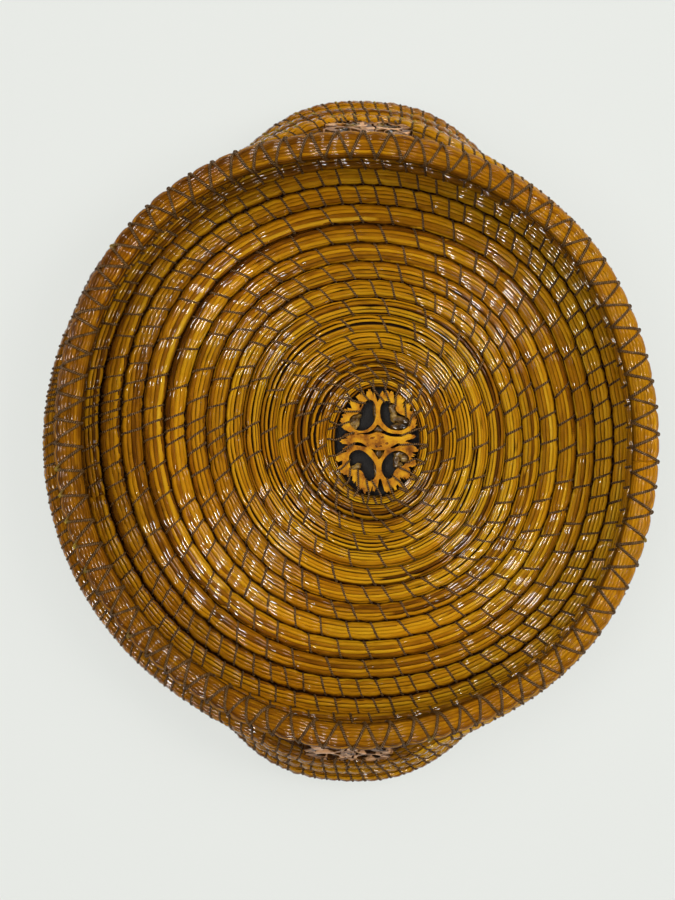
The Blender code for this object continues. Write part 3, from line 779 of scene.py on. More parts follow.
# %% Needles of a bundle
def lay_needles(
    bundle, name, strands, seed, node, first=0, last=None, groups=3, tone=0.46, spread=0.17, wander=1.0,
    bare_from=0.0, finish=NEEDLES,
):
    """Needles round a bundle. Painted shade darkens its sides in the grooves, not outside from bare_from
    on.
    """
    generator = np.random.default_rng(seed)
    at = bundle.at[first:last]
    step = bundle.at[1] - bundle.at[0]
    room, loose = bundle.radius[first:last], bundle.loose[first:last]
    # Painted light: the needles are lighter toward +X and a little toward +Y, by the slope.
    tone = tone + LOOSE_TONE * loose + (PAINTED_LIGHT_SLOPE * bundle.middle[first:last]).sum(1) / RIM_RADIUS
    filled = smooth((room - THIN_COIL) / FILLING)
    turns, pops, widths, highs, numbers = [], [], [], [], {"shade": [], "dark": [], "line": []}
    for k in range(strands):
        wild, odd = k % 4 == 1, k % 2 == 1
        drift = slow_noise(generator, len(at), step, SIDE_WANDER) * (0.7 if wild else 0.3)
        turn = 2 * math.pi * (k + 0.5 + drift * blend(0.25, 1.0, loose) * wander) / strands
        rise = slow_noise(generator, len(at), step, UP_WANDER) * UP_REACH + (UP_REACH if wild else 0.0)
        shade, dark, thin, line = shades_along(generator, at - at[0], loose, tone, spread, wander)
        # Painted shade: a needle low on a side of the bundle lies in a groove, and is darkened there.
        groove = smooth((np.abs(np.sin(turn)) - 0.93) / 0.07)
        groove = np.where((at > bare_from) & (np.sin(turn) > 0), 0.0, groove)
        spacing = 2 * math.pi * np.maximum(room - 0.35 * MM, 0.3 * MM) / strands * (2.0 - filled)
        half = np.minimum(spacing * blend(0.74, 0.57, loose), WIDEST_HALF)
        half = half * generator.uniform(0.85, 1.2) * thin
        half = np.where(room < 1.9 * MM, 0.0, half) if odd else half
        turns.append(turn)
        pops.append(rise * MM * wander * blend(0.45, 1.25, loose))
        widths.append(half * (filled if odd else 1.0))
        highs.append(np.minimum(half * blend(0.4, 0.75, loose), HIGHEST_HALF))
        numbers["shade"].append(shade)
        numbers["dark"].append(np.clip(dark + 0.7 * groove, 0.0, 1.0))
        numbers["line"].append(line)
    turns, pops, widths, highs = (np.array(rows) for rows in (turns, pops, widths, highs))
    lengths = np.broadcast_to(at, turns.shape)
    points, outward = bundle.surface(lengths, turns, lift=-LAID_IN)
    points = points + outward * pops[..., None]
    sideways = np.cross(outward, bundle.lines(lengths, "ahead")[0])
    sideways /= np.linalg.norm(sideways, axis=-1)[..., None]
    for part in range(groups):
        rows = slice(part * strands // groups, (part + 1) * strands // groups)
        chosen = {key: np.array(value)[rows] for key, value in numbers.items()}
        piece = tube_mesh(
            f"{name}_{part + 1}", points[rows], outward[rows], sideways[rows], widths[rows], highs[rows], 6,
            lengths[rows], chosen, finish,
        )
        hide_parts(node)


def lay_core(bundle, name, node, wide, first=0, last=None, outer=None):
    """The dark inside of the bundle. Its outer side may have a width of its own."""
    at = bundle.at[first:last][::2]
    middle, side, up = bundle.lines(at, "middle", "side", "up")
    thick = bundle.radius[first:last][::2]
    outer = np.full(len(at), wide) if outer is None else outer[first:last][::2]
    half = (thick * (wide + outer) / 2)[None]
    middle = middle - side * (thick * (wide - outer) / 2)[:, None]
    tall = np.maximum(thick * 0.78 - CORE_IN, 0.2 * MM)[None]
    points = (middle + ASIDE)[None]
    piece = tube_mesh(name, points, up[None], side[None], half, tall, 8, at[None], {}, PAINTED_SHADE_CORE)
    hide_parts(node)


# %% [markdown]
# The coil is laid in two parts, base and wall, as its solids are. In the floor the core is wider than the
# bundle and fills the grooves between the turns with its painted shade. The outer side of the last turn
# shows from outside, once the wall has climbed on top of it, so there the core draws back and the needles
# stay light.

# %% Needles of the coil
BASE_CORE, BASE_CORE_LAST, BASE_CORE_BARE, WALL_CORE, RIM_CORE = 1.14, 1.24, 0.88, 0.92, 0.9
# The wall's needles have a darker tone: painted shade for the rows under the rim.
WALL_SLIMMER, WALL_PAINTED_SHADE_TONE = 0.97, 0.42
foot = int(np.searchsorted(coil.at, foot_at))
bare_from = foot_at - math.radians(360.0 + CLIMB_STEP[0] - CLIMB_STEP[1]) * BASE_RADIUS
lay_needles(coil, "base_needles", COIL_NEEDLES, 11, "base_coil", last=foot + 1, bare_from=bare_from)
core_changes = (BASE_CORE, BASE_CORE_LAST, BASE_CORE_LAST, BASE_CORE_BARE)
open_side = np.interp(coil.at - bare_from, (-0.35, -0.30, 0.0, 0.05), core_changes)
lay_core(coil, "base_core", "base_coil", BASE_CORE, last=foot + 2, outer=open_side)
rest = slice(foot - 1, None)
wall = Bundle(coil.middle[rest], coil.radius[rest], WALL_STATION, coil.under[rest], coil.loose[rest])
wall.radius = wall.radius * WALL_SLIMMER
wall.grip = coil.grip - np.array([coil.at[foot - 1], 0.0, 0.0, 0.0])
lay_needles(wall, "wall_needles", COIL_NEEDLES, 12, "wall_coil", tone=WALL_PAINTED_SHADE_TONE)
lay_core(wall, "wall_core", "wall_coil", WALL_CORE)

# %% [markdown]
# The rim is a fatter bundle, laced all round. Each V of the lacing pulls it in, most of all at the V's
# point on the outer side, so that the needles bulge between the points like a row of small cushions.

# %% Needles of the rim
LACING_COUNT, LACING_START = 74, 2.0
RIM_LEAD = 6.0
LEFT_ANGLES, LEFT_OUT = (180.0, 110.0, 250.0), 0.5 * MM
RIM_FATTER, RIM_FATTER_LEFT = 0.2, 0.25
RIM_GRIP, VEE_SLANT, LOPSIDED = 0.11, 0.33, 0.55
rim_degrees = LACING_START + np.arange(-RIM_LEAD, 360.0 + RIM_LEAD + 0.1, 1.0)
same = np.ones(len(rim_degrees))
left_share = swell_share(rim_degrees, LEFT_ANGLES)
aside = np.column_stack([on_circle(1.0, rim_degrees), 0 * same])
rim_line = rim_points(rim_degrees) + LEFT_OUT * left_share[:, None] * aside
rim_radii = RIM_DIAMETER / 2 + (RIM_FATTER + RIM_FATTER_LEFT * left_share) * MM
rim = Bundle(rim_line, rim_radii, RIM_STATION, same, 0.0 * same, lopsided=LOPSIDED)
lap = RIM_LEAD / 360.0
rim_turn = rim.at[-1] / ((360.0 + 2 * RIM_LEAD) / 360.0)
rim_pitch = rim_turn / LACING_COUNT
vee_at = rim_turn * lap + np.arange(-2, LACING_COUNT + 3) * rim_pitch
vee_slant = VEE_SLANT * np.interp(vee_at, np.linspace(0.0, rim.at[-1], len(rim_degrees)), left_share)
rim.grip = np.array([
    (at, (leg + slanted) * rim_pitch, 0.0, RIM_GRIP)
    for at, slanted in zip(vee_at, vee_slant)
    for leg in (-0.5, 0.5)
])
whole_turn = {
    "first": int(np.searchsorted(rim.at, rim_turn * lap)),
    "last": int(np.searchsorted(rim.at, rim_turn * (1 + lap))) + 1,
}
# The rim's needles have a darker tone than the floor's: painted shade for the light that its top gets less
# of.
lay_needles(
    rim, "rim_needles", RIM_COIL_NEEDLES, 13, "rim_coil", **whole_turn,
    groups=1, tone=0.31, spread=0.09, wander=0.35, finish=RIM_NEEDLES,
)
lay_core(rim, "rim_core", "rim_coil", RIM_CORE, **whole_turn)

# %% [markdown]
# Sewing. A stitch is a ring of thread round the bundle, slanted, which sinks in where it pinches the
# needles. There are over a thousand, so each has only some sixty faces, and the two plies are left to the
# material.

# %% Stitches
THREAD_DIAMETER = 0.9 * MM
STITCH_TURNS, STITCH_STATIONS = (-2.0, 4.0), 13
BASE_LIFT, WALL_LIFT = 0.3, 0.25
BACK_LUG_FROM, BACK_LUG_HALF, WAXED_CHANCE, WAXED = 0.09, 0.045, 0.5, 0.8


def sew(bundle, name, grips, turns, stations, thick=1.0, waxed=None, lift=BASE_LIFT):
    """One thread over the bundle at each grip, from one turn round it to another."""
    places, inner, outer = (column[:, None] for column in grips)
    turn = blend(*turns, np.linspace(0.0, 1.0, stations))[None] + np.zeros((len(places), 1))
    length = places + blend(inner, outer, 0.5 + 0.5 * np.sin(turn))
    length = np.clip(length, bundle.at[0], bundle.at[-1])
    points, outward = bundle.surface(length, turn, lift=THREAD_DIAMETER * lift)
    sideways = np.cross(outward, unit(np.gradient(points, axis=1)))
    half = np.full(turn.shape, THREAD_DIAMETER / 2 * thick) * rng.uniform(0.92, 1.1, (len(places), 1))
    run = run_along(points) + rng.uniform(0.0, 0.05, (len(places), 1))
    wax = np.zeros(turn.shape) if waxed is None else waxed[:, None] * smooth((turn - 0.5) / 0.6)
    return tube_mesh(
        name, points, outward, unit(sideways), half, half * 0.9, 5, run, {"wax": wax}, THREAD,
    )


def unit(vectors):
    return vectors / np.linalg.norm(vectors, axis=-1)[..., None]


def run_along(points):
    """The length of each line up to each of its stations."""
    steps = np.linalg.norm(np.diff(points, axis=1, prepend=points[:, :1]), axis=-1)
    return np.cumsum(steps, axis=1)


base_grips = coil.grip[(stitch_at > 2 * MM) & (stitch_at < foot_at - 2 * MM), :3]
sew(coil, "base_stitches", base_grips.T, STITCH_TURNS, STITCH_STATIONS)
wall_grips = wall.grip[(wall.grip[:, 0] > 3 * MM) & (wall.grip[:, 0] < wall.at[-1] - 2 * MM), :3]
wall_x, wall_y = (np.interp(wall_grips[:, 0], wall.at, wall.middle[:, k]) for k in range(2))
near_back_lug = (wall_y > BACK_LUG_FROM) & (np.abs(wall_x) < BACK_LUG_HALF)
near_back_lug &= rng.random(len(wall_grips)) < WAXED_CHANCE
sew(
    wall, "wall_stitches", wall_grips.T, STITCH_TURNS, STITCH_STATIONS,
    waxed=np.where(near_back_lug, WAXED, 0.0), lift=WALL_LIFT,
)

# %% Lacing of the rim
LEG_TURNS, LEG_STATIONS, LEG_THICK = (-2.1, 2.4), 17, 1.1
vee_here = rim_turn * lap + np.arange(LACING_COUNT) * rim_pitch + rng.normal(0.0, 0.25 * MM, LACING_COUNT)
vee_degrees = np.interp(vee_here, rim.at, np.linspace(rim_degrees[0], rim_degrees[-1], len(rim.at))) % 360.0
at_left = (vee_degrees > 150.0) & (vee_degrees < 174.0)
wax_share = np.where(at_left, rng.uniform(0.6, 1.0, LACING_COUNT), 0.0)
wax_share = np.maximum(wax_share, np.where(rng.random(LACING_COUNT) < 0.06, 0.5, 0.0))
slanted = VEE_SLANT * swell_share(vee_degrees, LEFT_ANGLES)
for leg, inner, outer in (("left", -0.5, 0.01), ("right", 0.5, -0.01)):
    grips = (vee_here, (inner + slanted) * rim_pitch, np.full(LACING_COUNT, outer * rim_pitch))
    legs = sew(rim, f"rim_lacing_{leg}", grips, LEG_TURNS, LEG_STATIONS, thick=LEG_THICK, waxed=wax_share)
    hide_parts("rim_lacing")

# %% [markdown]
# Where the legs of a V meet, the thread loops round itself and stands out from the rim as a small knot.
# Each is a short tube along the rim, fat in the middle.

# %% Knots of the lacing
KNOT_HALF_LENGTH, KNOT_HALF, KNOT_LIFT = 0.75 * MM, 0.48 * MM, 0.6 * MM
along_knot = np.linspace(-1.0, 1.0, 7)[None] + np.zeros((LACING_COUNT, 1))
knot_turn = 1.36 + 0.1 * along_knot + rng.normal(0.0, 0.05, (LACING_COUNT, 1))
knot_lift = KNOT_LIFT - KNOT_LIFT / 2 * along_knot**2
knot_at = along_knot * KNOT_HALF_LENGTH
knot_points, knot_out = rim.surface(vee_here[:, None] + knot_at, knot_turn, lift=knot_lift)
knot_sideways = unit(np.cross(knot_out, np.gradient(knot_points, axis=1)))
knot_half = KNOT_HALF * np.sqrt(1.08 - along_knot**2) * rng.uniform(0.85, 1.15, (LACING_COUNT, 1))
knots = tube_mesh(
    "rim_knots", knot_points, knot_out, knot_sideways, knot_half, knot_half, 6, knot_at,
    {"wax": wax_share[:, None] + 0.0 * along_knot}, THREAD,
)
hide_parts("rim_lacing")

# %% [markdown]
# The walnut slices. A slice is sawn from a black walnut: four cavities round a cross of shell, and outside
# them a crown of spikes where the shell's ridges were. Its outline and holes are drawn as a flat curve,
# which Blender fills and extrudes, with a small bevel to soften the saw's edge.

# %% Outline of a slice
# Sketched on a grid, across and down
SKETCH, SKETCH_MIDDLE = 0.035 * MM, (473.0, 600.0)
CROWN = (
    (372, 95), (385, 72), (402, 74), (418, 100), (428, 128), (440, 104), (452, 128), (464, 152),
    (486, 162), (500, 142), (510, 112), (524, 92), (534, 104), (544, 130), (552, 100), (566, 84),
    (584, 96), (596, 118), (606, 100), (618, 92), (632, 104), (644, 132), (658, 150), (672, 136),
    (688, 124), (706, 134), (722, 150), (742, 158), (756, 172), (744, 192), (724, 206), (742, 216),
    (756, 244), (768, 218), (796, 214), (808, 232), (802, 262), (808, 288), (820, 296), (834, 288),
    (848, 308), (844, 334), (858, 346), (868, 372), (862, 404), (872, 430), (852, 456), (826, 482),
    (806, 506), (824, 524), (850, 532), (860, 546), (848, 560), (812, 572), (788, 586), (800, 604),
    (822, 616), (830, 634), (858, 654), (884, 680), (878, 698), (850, 702), (838, 716), (852, 730),
    (842, 748), (820, 764), (838, 776), (862, 792), (866, 820), (850, 842), (826, 852), (800, 862),
    (806, 884), (816, 908), (800, 930), (806, 952), (790, 968), (770, 976), (756, 962), (742, 974),
    (722, 966), (704, 972), (712, 996), (694, 1008), (712, 1034), (722, 1058), (700, 1052), (676, 1036),
    (664, 1048), (668, 1078), (650, 1084), (634, 1066), (620, 1080), (626, 1108), (606, 1112),
    (596, 1092), (570, 1106), (548, 1094), (540, 1064), (528, 1034), (512, 1002), (496, 1004),
    (484, 1030), (478, 1062), (456, 1068), (448, 1098), (430, 1092), (420, 1064), (408, 1090),
    (396, 1112), (380, 1096), (366, 1100), (350, 1122), (334, 1104), (322, 1078), (300, 1082),
    (284, 1064), (266, 1044), (262, 1012), (240, 1012), (224, 988), (210, 950), (196, 962), (176, 950),
    (160, 928), (140, 930), (112, 912), (92, 884), (74, 866), (96, 848), (114, 826), (110, 802),
    (80, 800), (58, 782), (62, 744), (84, 724), (118, 716), (144, 712), (150, 690), (128, 672),
    (146, 650), (158, 628), (122, 618), (100, 598), (112, 578), (140, 572), (156, 556), (130, 540),
    (146, 524), (176, 512), (196, 504), (170, 490), (140, 474), (118, 452), (128, 430), (112, 416),
    (98, 390), (112, 366), (134, 352), (122, 330), (144, 318), (152, 302), (130, 290), (150, 270),
    (176, 262), (210, 256), (206, 230), (192, 208), (202, 188), (228, 180), (250, 184), (262, 200),
    (284, 204), (290, 184), (276, 164), (262, 150), (280, 134), (296, 118), (312, 96), (330, 90),
    (342, 108), (352, 136), (362, 120),
)

# %% Shapes of the holes
CAVITIES = (
    (
        (350, 200), (385, 175), (420, 180), (445, 200), (460, 260), (463, 330), (453, 390), (420, 440),
        (380, 475), (330, 495), (270, 490), (225, 460), (192, 420), (190, 380), (210, 345), (240, 325),
        (280, 318), (310, 285), (328, 240),
    ),
    (
        (497, 300), (505, 240), (530, 195), (580, 185), (605, 205), (640, 215), (655, 240), (665, 290),
        (700, 320), (740, 335), (775, 350), (800, 385), (800, 420), (780, 455), (740, 480), (700, 490),
        (650, 488), (600, 475), (550, 435), (510, 385),
    ),
    (
        (185, 745), (215, 700), (265, 678), (320, 682), (370, 715), (420, 765), (455, 820), (468, 880),
        (463, 930), (440, 980), (400, 998), (365, 990), (345, 955), (335, 915), (310, 885), (270, 878),
        (235, 885), (205, 865), (192, 810),
    ),
    (
        (512, 850), (525, 795), (560, 745), (605, 705), (660, 685), (720, 690), (770, 720), (795, 755),
        (790, 790), (760, 815), (740, 840), (700, 855), (665, 875), (640, 905), (632, 950), (605, 975),
        (570, 975), (540, 945), (518, 900),
    ),
)
SLITS = (
    (
        (262, 532), (310, 522), (352, 530), (400, 528), (440, 512), (466, 506), (500, 508), (540, 522),
        (590, 545), (650, 552), (700, 552), (726, 548), (728, 526), (690, 518), (630, 518), (570, 500),
        (520, 468), (492, 430), (470, 426), (448, 462), (410, 492), (350, 510), (290, 514), (264, 520),
    ),
    ((216, 500), (232, 492), (250, 502), (248, 524), (230, 532), (214, 518)),
    ((232, 604), (300, 602), (340, 622), (384, 660), (340, 652), (290, 640), (236, 634)),
    ((596, 658), (640, 636), (680, 610), (708, 616), (706, 640), (670, 650), (630, 670)),
    (
        (404, 666), (440, 676), (500, 684), (556, 678), (540, 712), (516, 752), (490, 782), (468, 752),
        (446, 714), (424, 690),
    ),
    ((296, 232), (312, 206), (322, 220), (316, 248), (298, 262)),
)
# Remains in the cavities, on the same grid: middle, half sizes, and turn in degrees
KERNEL_SKINS = (
    (232, 400, 66, 84, 0), (262, 345, 56, 36, 10), (452, 300, 22, 104, 4), (636, 270, 46, 70, 12),
    (705, 372, 90, 34, -8), (766, 402, 44, 46, 0), (690, 448, 84, 46, 6), (752, 450, 44, 40, 0),
    (640, 350, 36, 60, 0), (252, 858, 76, 32, 28), (460, 868, 22, 90, 6), (708, 712, 78, 38, 18),
    (752, 762, 56, 48, 0), (694, 842, 66, 34, -22), (668, 784, 34, 60, 0), (486, 470, 60, 46, 0),
    (490, 722, 46, 60, 0),
)
BAR_KNOBS = (
    (425, 558, 34, 20, 20), (478, 546, 30, 22, 0), (524, 556, 30, 20, -15), (444, 602, 40, 26, 10),
    (500, 598, 34, 24, 0), (462, 640, 30, 20, -20), (512, 646, 32, 18, 15), (556, 622, 36, 24, 20),
)
print(len(CROWN), "points round the crown,", len(CAVITIES) + len(SLITS), "holes")


# %% Rounding and fraying
LONG_EDGE, TEETH, BITE = 17.0, (0.35, 0.65), 0.055
NOTCH_REACH, NOTCH_DEEPER, DEEPEST_NOTCH = 7, 0.8, 34.0


def on_slice(place, grow, turned):
    """From the sketch to the slice's own plane. The handles' slices lie on their side."""
    x = (place[0] - SKETCH_MIDDLE[0]) * SKETCH * grow[0]
    y = (SKETCH_MIDDLE[1] - place[1]) * SKETCH * grow[1]
    return (y, -x) if turned else (x, y)


def rounded(points):
    """Each corner cut off, which turns a rough outline into a soft one."""
    soft = []
    for (x0, y0), (x1, y1) in zip(points, points[1:] + points[:1]):
        soft += [(blend(x0, x1, share), blend(y0, y1, share)) for share in (0.25, 0.75)]
    return soft


def bitten(points):
    """The outline frayed into small teeth, and the notches between the spikes cut deeper."""
    generator = np.random.default_rng(5)
    corners = np.array(points, float) - SKETCH_MIDDLE
    frayed = []
    for corner, after in zip(corners, np.roll(corners, -1, 0)):
        frayed.append(corner)
        if np.linalg.norm(after - corner) > LONG_EDGE:
            share, inward = generator.uniform(*TEETH), generator.uniform(0.0, BITE)
            frayed.append(blend(corner, after, share) * (1.0 - inward))
    frayed = np.array(frayed)
    reach = np.linalg.norm(frayed, axis=1)
    around = np.mean([np.roll(reach, k) for k in range(-NOTCH_REACH, NOTCH_REACH + 1)], axis=0)
    deeper = np.clip((around - reach) * NOTCH_DEEPER, 0.0, DEEPEST_NOTCH)
    return frayed * ((reach - deeper) / reach)[:, None] + SKETCH_MIDDLE


# %% Shell of a slice
SAW_BEVEL = 0.08 * MM


def make_slice(name, wide, long, thick, turned):
    """A flat slice in its own plane, its middle at the origin, and how much it is grown from the sketch."""
    across, down = (long, wide) if turned else (wide, long)
    grow = (across / SLICE_WIDTH, down / SLICE_LENGTH)
    curve = bpy.data.curves.new(name, "CURVE")
    curve.dimensions = "2D"
    curve.fill_mode = "BOTH"
    curve.extrude = thick / 2 - SAW_BEVEL
    curve.bevel_depth = SAW_BEVEL
    curve.bevel_resolution = 1
    for outline in (bitten(CROWN), *(rounded(hole) for hole in CAVITIES + SLITS)):
        spline = curve.splines.new("POLY")
        spline.points.add(len(outline) - 1)
        spline.use_cyclic_u = True
        for target, place in zip(spline.points, outline):
            target.co = (*on_slice(place, grow, turned), 0.0, 1.0)
    piece = bpy.data.objects.new(name, curve)
    bpy.context.scene.collection.objects.link(piece)
    bpy.ops.object.select_all(action="DESELECT")
    piece.select_set(True)
    bpy.context.view_layer.objects.active = piece
    bpy.ops.object.convert(target="MESH")
    sawn = [1.0 if abs(face.normal.z) > 0.9 else 0.0 for face in piece.data.polygons]
    piece.data.attributes.new("sawn", "FLOAT", "FACE").data.foreach_set("value", sawn)
    piece.data.materials.clear()
    piece.data.materials.append(WAXED_SHELL if turned else SHELL)
    return piece, grow


# %% [markdown]
# The lumps in the cavities and the knobs on the bar are small spheres, stretched, turned and joined. A
# noise that follows their place pushes every point a little, so that no lump is round. It takes its start
# from the clock unless it is given a seed, and with one every run gives the same lumps.

# %% Lumps
LUMP_WAVE, LUMP_WOBBLE, LUMP_WOBBLE_UP, LOWER_TOPS = 1.0 * MM, 0.42 * MM, 0.6, 0.35
noise.seed_set(1)


def lumps(name, spots, grow, turned, low, high, material):
    """Knobbly lumps at these spots of the sketch, between two heights, as one piece."""
    generator = np.random.default_rng(len(spots))
    pieces = []
    for across, down, half_across, half_down, degrees in spots:
        x, y = on_slice((across, down), grow, turned)
        sizes = np.array((half_across, half_down)) * grow * SKETCH
        sizes = sizes[::-1] if turned else sizes
        top = high - generator.uniform(0.0, LOWER_TOPS) * (high - low)
        bpy.ops.object.select_all(action="DESELECT")
        bpy.ops.mesh.primitive_ico_sphere_add(
            subdivisions=3, radius=1.0, location=(x, y, (low + top) / 2),
            rotation=(0, 0, math.radians(degrees)), scale=(*sizes, (top - low) / 2),
        )
        bpy.ops.object.transform_apply(location=True, rotation=True, scale=True)
        lump = bpy.context.object
        for vertex in lump.data.vertices:
            wobble = noise.noise_vector(vertex.co / LUMP_WAVE) * LUMP_WOBBLE
            vertex.co += Vector((wobble.x, wobble.y, wobble.z * LUMP_WOBBLE_UP))
        lump.data.polygons.foreach_set("use_smooth", [True] * len(lump.data.polygons))
        pieces.append(lump)
    for piece in pieces:
        piece.select_set(True)
    bpy.context.view_layer.objects.active = pieces[0]
    bpy.ops.object.join()
    whole = bpy.context.object
    whole.name = name
    whole.data.materials.clear()
    whole.data.materials.append(material)
    return whole


# %% Slices in their places
def dress_slice(node, wide, long, thick, turned, matrix):
    """A slice with its lumps, each moved to its place in its mesh."""
    shell, grow = make_slice(f"{node}_shell", wide, long, thick, turned)
    low, high = -thick / 2 + 0.1 * MM, thick / 2 - 0.9 * MM
    skins = lumps(f"{node}_skins", KERNEL_SKINS, grow, turned, low, high, SKIN)
    low, high = thick / 2 - 1.2 * MM, thick / 2 + 0.35 * MM
    knobs = lumps(f"{node}_knobs", BAR_KNOBS, grow, turned, low, high, SHELL)
    for piece in (shell, skins, knobs):
        piece.data.transform(matrix)
        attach(piece, "root")
        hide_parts(node)
        print(piece.name, len(piece.data.polygons), "faces")


centre_at = Vector((BASKET_X + SLICE_OFFSET, 0.0, SLICE_LIFT + SLICE_THICKNESS / 2))
rolled = Matrix.Rotation(math.radians(CAMERA_ROLL), 4, "Z")
centre_place = Matrix.Translation(centre_at) @ rolled
dress_slice("centre_slice", SLICE_WIDTH, SLICE_LENGTH, SLICE_THICKNESS, False, centre_place)
handle_middle = lug_row(WALL_TURNS) - (LUG_COIL_RADIUS + COIL_GAP + HANDLE_SLICE_HEIGHT / 2) * LEAN
handle_size = (HANDLE_SLICE_WIDTH, HANDLE_SLICE_HEIGHT, HANDLE_SLICE_THICKNESS)
for side, name in ((1, "back"), (-1, "front")):
    tilt = Matrix.Rotation(math.radians(90.0 + side * HANDLE_ANGLE), 4, "X")
    handle_place = Matrix.Translation((BASKET_X, side * handle_middle[0], handle_middle[1])) @ tilt
    dress_slice(f"handle_slice_{name}", *handle_size, True, handle_place)

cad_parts["slice_backing"].data.materials.clear()
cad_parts["slice_backing"].data.materials.append(CLOTH)

# %% [markdown]
# The ties. Each is a thread that comes up through a cavity of the slice and crosses the sawn face and the
# first turn of needles, down into the groove behind it. It leans as the stitches do. In the handles five
# threads hold the slice to the row outside it. A smooth curve through a few points gives each its line.

# %% Ties of the slices
TIE_ENDS = (
    (715, 540), (792, 436), (762, 348), (654, 244), (598, 204), (540, 194), (386, 180), (344, 214),
    (296, 296), (196, 400), (230, 508), (240, 618), (192, 790), (206, 868), (282, 884), (366, 988),
    (424, 992), (574, 975), (634, 944), (698, 856), (770, 808), (704, 630),
)
TIE_LEAN, TIE_HALF, TIE_STATIONS = 7.0, 0.37 * MM, 17
HANDLE_TIES, HANDLE_TIE_SPACING, TIE_GRIP = 5, 4.6 * MM, 2.6 * MM
TIE_SLANTS = (0.9, 0.7, 0.2, -0.3, -0.6)


def smooth_lines(corners, stations):
    """Even stations on a soft curve through the corners of each line (Catmull-Rom)."""
    before, beyond = 2 * corners[:, :1] - corners[:, 1:2], 2 * corners[:, -1:] - corners[:, -2:-1]
    padded = np.concatenate([before, corners, beyond], 1)
    place = np.linspace(0.0, corners.shape[1] - 1 - 1e-6, stations)
    span = place.astype(int)
    t = (place - span)[None, :, None]
    a, b, c, d = (padded[:, span + k] for k in range(4))
    return 0.5 * (2 * b + (c - a) * t + (2 * a - 5 * b + 4 * c - d) * t**2 + (3 * b - a - 3 * c + d) * t**3)


def lay_threads(name, corners, nodes):
    points = smooth_lines(np.array(corners), TIE_STATIONS)
    ahead = unit(np.gradient(points, axis=1))
    sideways = unit(np.cross((0.0, 0.0, 1.0), ahead))
    half = np.full(points.shape[:2], TIE_HALF) * rng.uniform(0.92, 1.08, (len(points), 1))
    piece = tube_mesh(
        name, points, np.cross(ahead, sideways), sideways, half, half * 0.9, 6, run_along(points),
        {"wax": 0.0 * half}, THREAD,
    )
    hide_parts(*nodes)


def centre_tie(i, end):
    """Five places: in the cavity, on the face, at the slice's edge, over the first turn, in the groove."""
    x, y = on_slice(end, (1.0, 1.0), False)
    onto = np.array(centre_at + rolled.to_3x3() @ Vector((x, y, 0.0)))[:2]
    angle = math.radians(360.0 * (i + 0.5) / len(TIE_ENDS) + TIE_LEAN)
    aim = np.array([math.cos(angle), math.sin(angle)])
    edge = np.array(centre_at)[:2] + np.array([SLICE_WIDTH / 2, SLICE_LENGTH / 2]) * aim
    reach = COIL_GAP + FIRST_TURN_DIAMETER
    toward = (edge - onto) / np.linalg.norm(edge - onto)
    top = SLICE_LIFT + SLICE_THICKNESS + 0.3 * MM
    return (
        (*(onto - 0.5 * MM * toward), top - 1.6 * MM),
        (*(onto + 0.3 * MM * toward), top),
        (*(edge - 0.4 * MM * aim), top + 0.1 * MM),
        (*(edge + reach * 0.55 * aim), top + 0.15 * MM),
        (*(edge + (reach + 0.1 * MM) * aim), top - 1.3 * MM),
    )


def handle_tie(i, side):
    """Five places: in a cavity, on the face, and round the lug's top row."""
    out = np.array([-LEAN[1], LEAN[0]])
    across = (i - (HANDLE_TIES - 1) / 2) * HANDLE_TIE_SPACING
    degrees = 90.0 - math.degrees(across / lug_row(WALL_TURNS)[0])
    row_radius, row_height = row_place(WALL_TURNS, np.array([degrees]))[0]
    row = np.array([row_radius * math.sin(math.radians(degrees)), row_height])
    drop = HANDLE_SLICE_HEIGHT / 2 * math.sqrt(1.0 - (2 * across / HANDLE_SLICE_WIDTH) ** 2)
    edge = handle_middle + drop * LEAN
    face = (HANDLE_SLICE_THICKNESS / 2 + 0.4 * MM) * out
    beside = LUG_COIL_RADIUS + 0.5 * MM
    path = (
        edge - TIE_GRIP * LEAN + face - 1.2 * MM * out,
        edge - (TIE_GRIP - 0.6 * MM) * LEAN + face,
        row - 0.7 * beside * LEAN + 0.8 * beside * out,
        row + 1.02 * beside * out,
        row + 0.75 * beside * (LEAN + out),
    )
    return [(BASKET_X + across + slant * MM, side * r, z) for (r, z), slant in zip(path, TIE_SLANTS)]


centre_nodes = [f"centre_tie_{i + 1:02d}" for i in range(len(TIE_ENDS))]
lay_threads("centre_ties", [centre_tie(i, end) for i, end in enumerate(TIE_ENDS)], centre_nodes)
for side, name in ((1, "back"), (-1, "front")):
    handle_nodes = [f"handle_tie_{name}_{i + 1}" for i in range(HANDLE_TIES)]
    lay_threads(f"handle_ties_{name}", [handle_tie(i, side) for i in range(HANDLE_TIES)], handle_nodes)

# %% [markdown]
# The studio: a pale floor, a pale sky and soft lamps. Four lamps only light the basket. The varnish shows
# where a lamp stands, as white streaks on the needles that lie across its light, so four narrow windows are
# seen in the varnish alone, where the photograph has such streaks: at each corner of the floor, most of all
# at the lower left and the upper left.

# %% Floor and sky
PALE = (0.77, 0.79, 0.755, 1.0)
FLOOR_DROP, FLOOR_GLOW, SKY_LIGHT = 0.3 * MM, 0.85, 0.14
bpy.ops.object.select_all(action="DESELECT")
bpy.ops.mesh.primitive_plane_add(size=6.0, location=(0, 0, -FLOOR_DROP))
floor = bpy.context.object
floor.name = "floor"
paper = Finish("paper", roughness=0.9, base_color=(0.80, 0.815, 0.785, 1.0))
glow = paper.add("Emission", Color=PALE, Strength=1.0)
seen = Value(paper.tree, paper.add("LightPath").outputs["Is Camera Ray"])
both = paper.add("MixShader", _0=seen * FLOOR_GLOW, _1=paper.shader, _2=glow)
paper.join(paper.tree.nodes["Material Output"].inputs[0], both)
floor.data.materials.append(paper.finish())

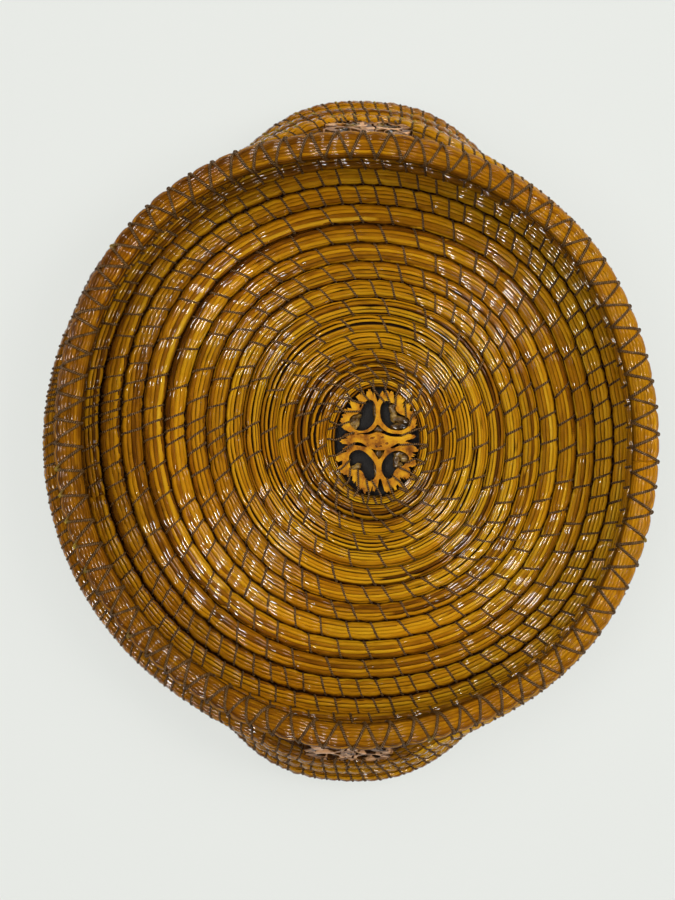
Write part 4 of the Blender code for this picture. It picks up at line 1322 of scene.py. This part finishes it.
world = bpy.data.worlds.new("sky")
bpy.context.scene.world = world
world.use_nodes = True
sky = world.node_tree
direction = sky.nodes.new("ShaderNodeTexCoord")
height = sky.nodes.new("ShaderNodeSeparateXYZ")
sky_ramp = sky.nodes.new("ShaderNodeValToRGB")
for element, stop, grey in zip(sky_ramp.color_ramp.elements, (0.1, 0.85), (0.9, 0.1)):
    element.position = stop
    element.color = (grey, grey, grey, 1.0)
light_of_sky = sky.nodes["Background"]
light_of_sky.inputs["Strength"].default_value = SKY_LIGHT
seen_sky = sky.nodes.new("ShaderNodeBackground")
seen_sky.inputs["Color"].default_value = PALE
choice = sky.nodes.new("ShaderNodeMixShader")
for source, slot in (
    (direction.outputs["Generated"], height.inputs[0]),
    (height.outputs[2], sky_ramp.inputs[0]),
    (sky_ramp.outputs[0], light_of_sky.inputs["Color"]),
    (sky.nodes.new("ShaderNodeLightPath").outputs["Is Camera Ray"], choice.inputs[0]),
    (light_of_sky.outputs[0], choice.inputs[1]),
    (seen_sky.outputs[0], choice.inputs[2]),
    (choice.outputs[0], sky.nodes["World Output"].inputs[0]),
):
    sky.links.new(source, slot)
print("a floor and a sky with", len(sky.nodes), "nodes")


# %% Lamps
def lamp(name, azimuth, elevation, size, power, mirrored, distance=1.4):
    """A lamp that the varnish mirrors, or one that only lights: the streaks and the light are set apart."""
    light = bpy.data.lights.new(name, "AREA")
    light.shape = "RECTANGLE"
    light.size, light.size_y = size
    light.energy = power
    piece = bpy.data.objects.new(name, light)
    aim = Vector((math.cos(math.radians(elevation)), 0.0, math.sin(math.radians(elevation))))
    aim.rotate(Matrix.Rotation(math.radians(azimuth), 3, "Z"))
    piece.visible_glossy = mirrored
    piece.visible_diffuse = not mirrored
    piece.location = aim * distance
    piece.rotation_euler = aim.to_track_quat("Z", "Y").to_euler()
    bpy.context.scene.collection.objects.link(piece)


lamp("ceiling", 0, 89.9, (2.2, 2.2), 18, False, distance=1.6)
for name, azimuth, elevation, power in (
    ("right_fill", 15, 50, 11.5), ("left_fill", 190, 60, 4.6), ("back_fill", 105, 60, 4.6),
):
    lamp(name, azimuth, elevation, (0.7, 0.7), power, False)
for name, azimuth, elevation, size, power in (
    ("window", 228, 62, (0.12, 0.34), 10.0), ("third_window", 140, 62, (0.12, 0.34), 7.5),
    ("second_window", 45, 58, (0.26, 0.34), 2.2), ("last_window", 325, 60, (0.12, 0.3), 2.6),
):
    lamp(name, azimuth, elevation, size, power, True)
print(len(bpy.data.lights), "lamps")
bpy.context.scene.view_settings.view_transform = "Standard"
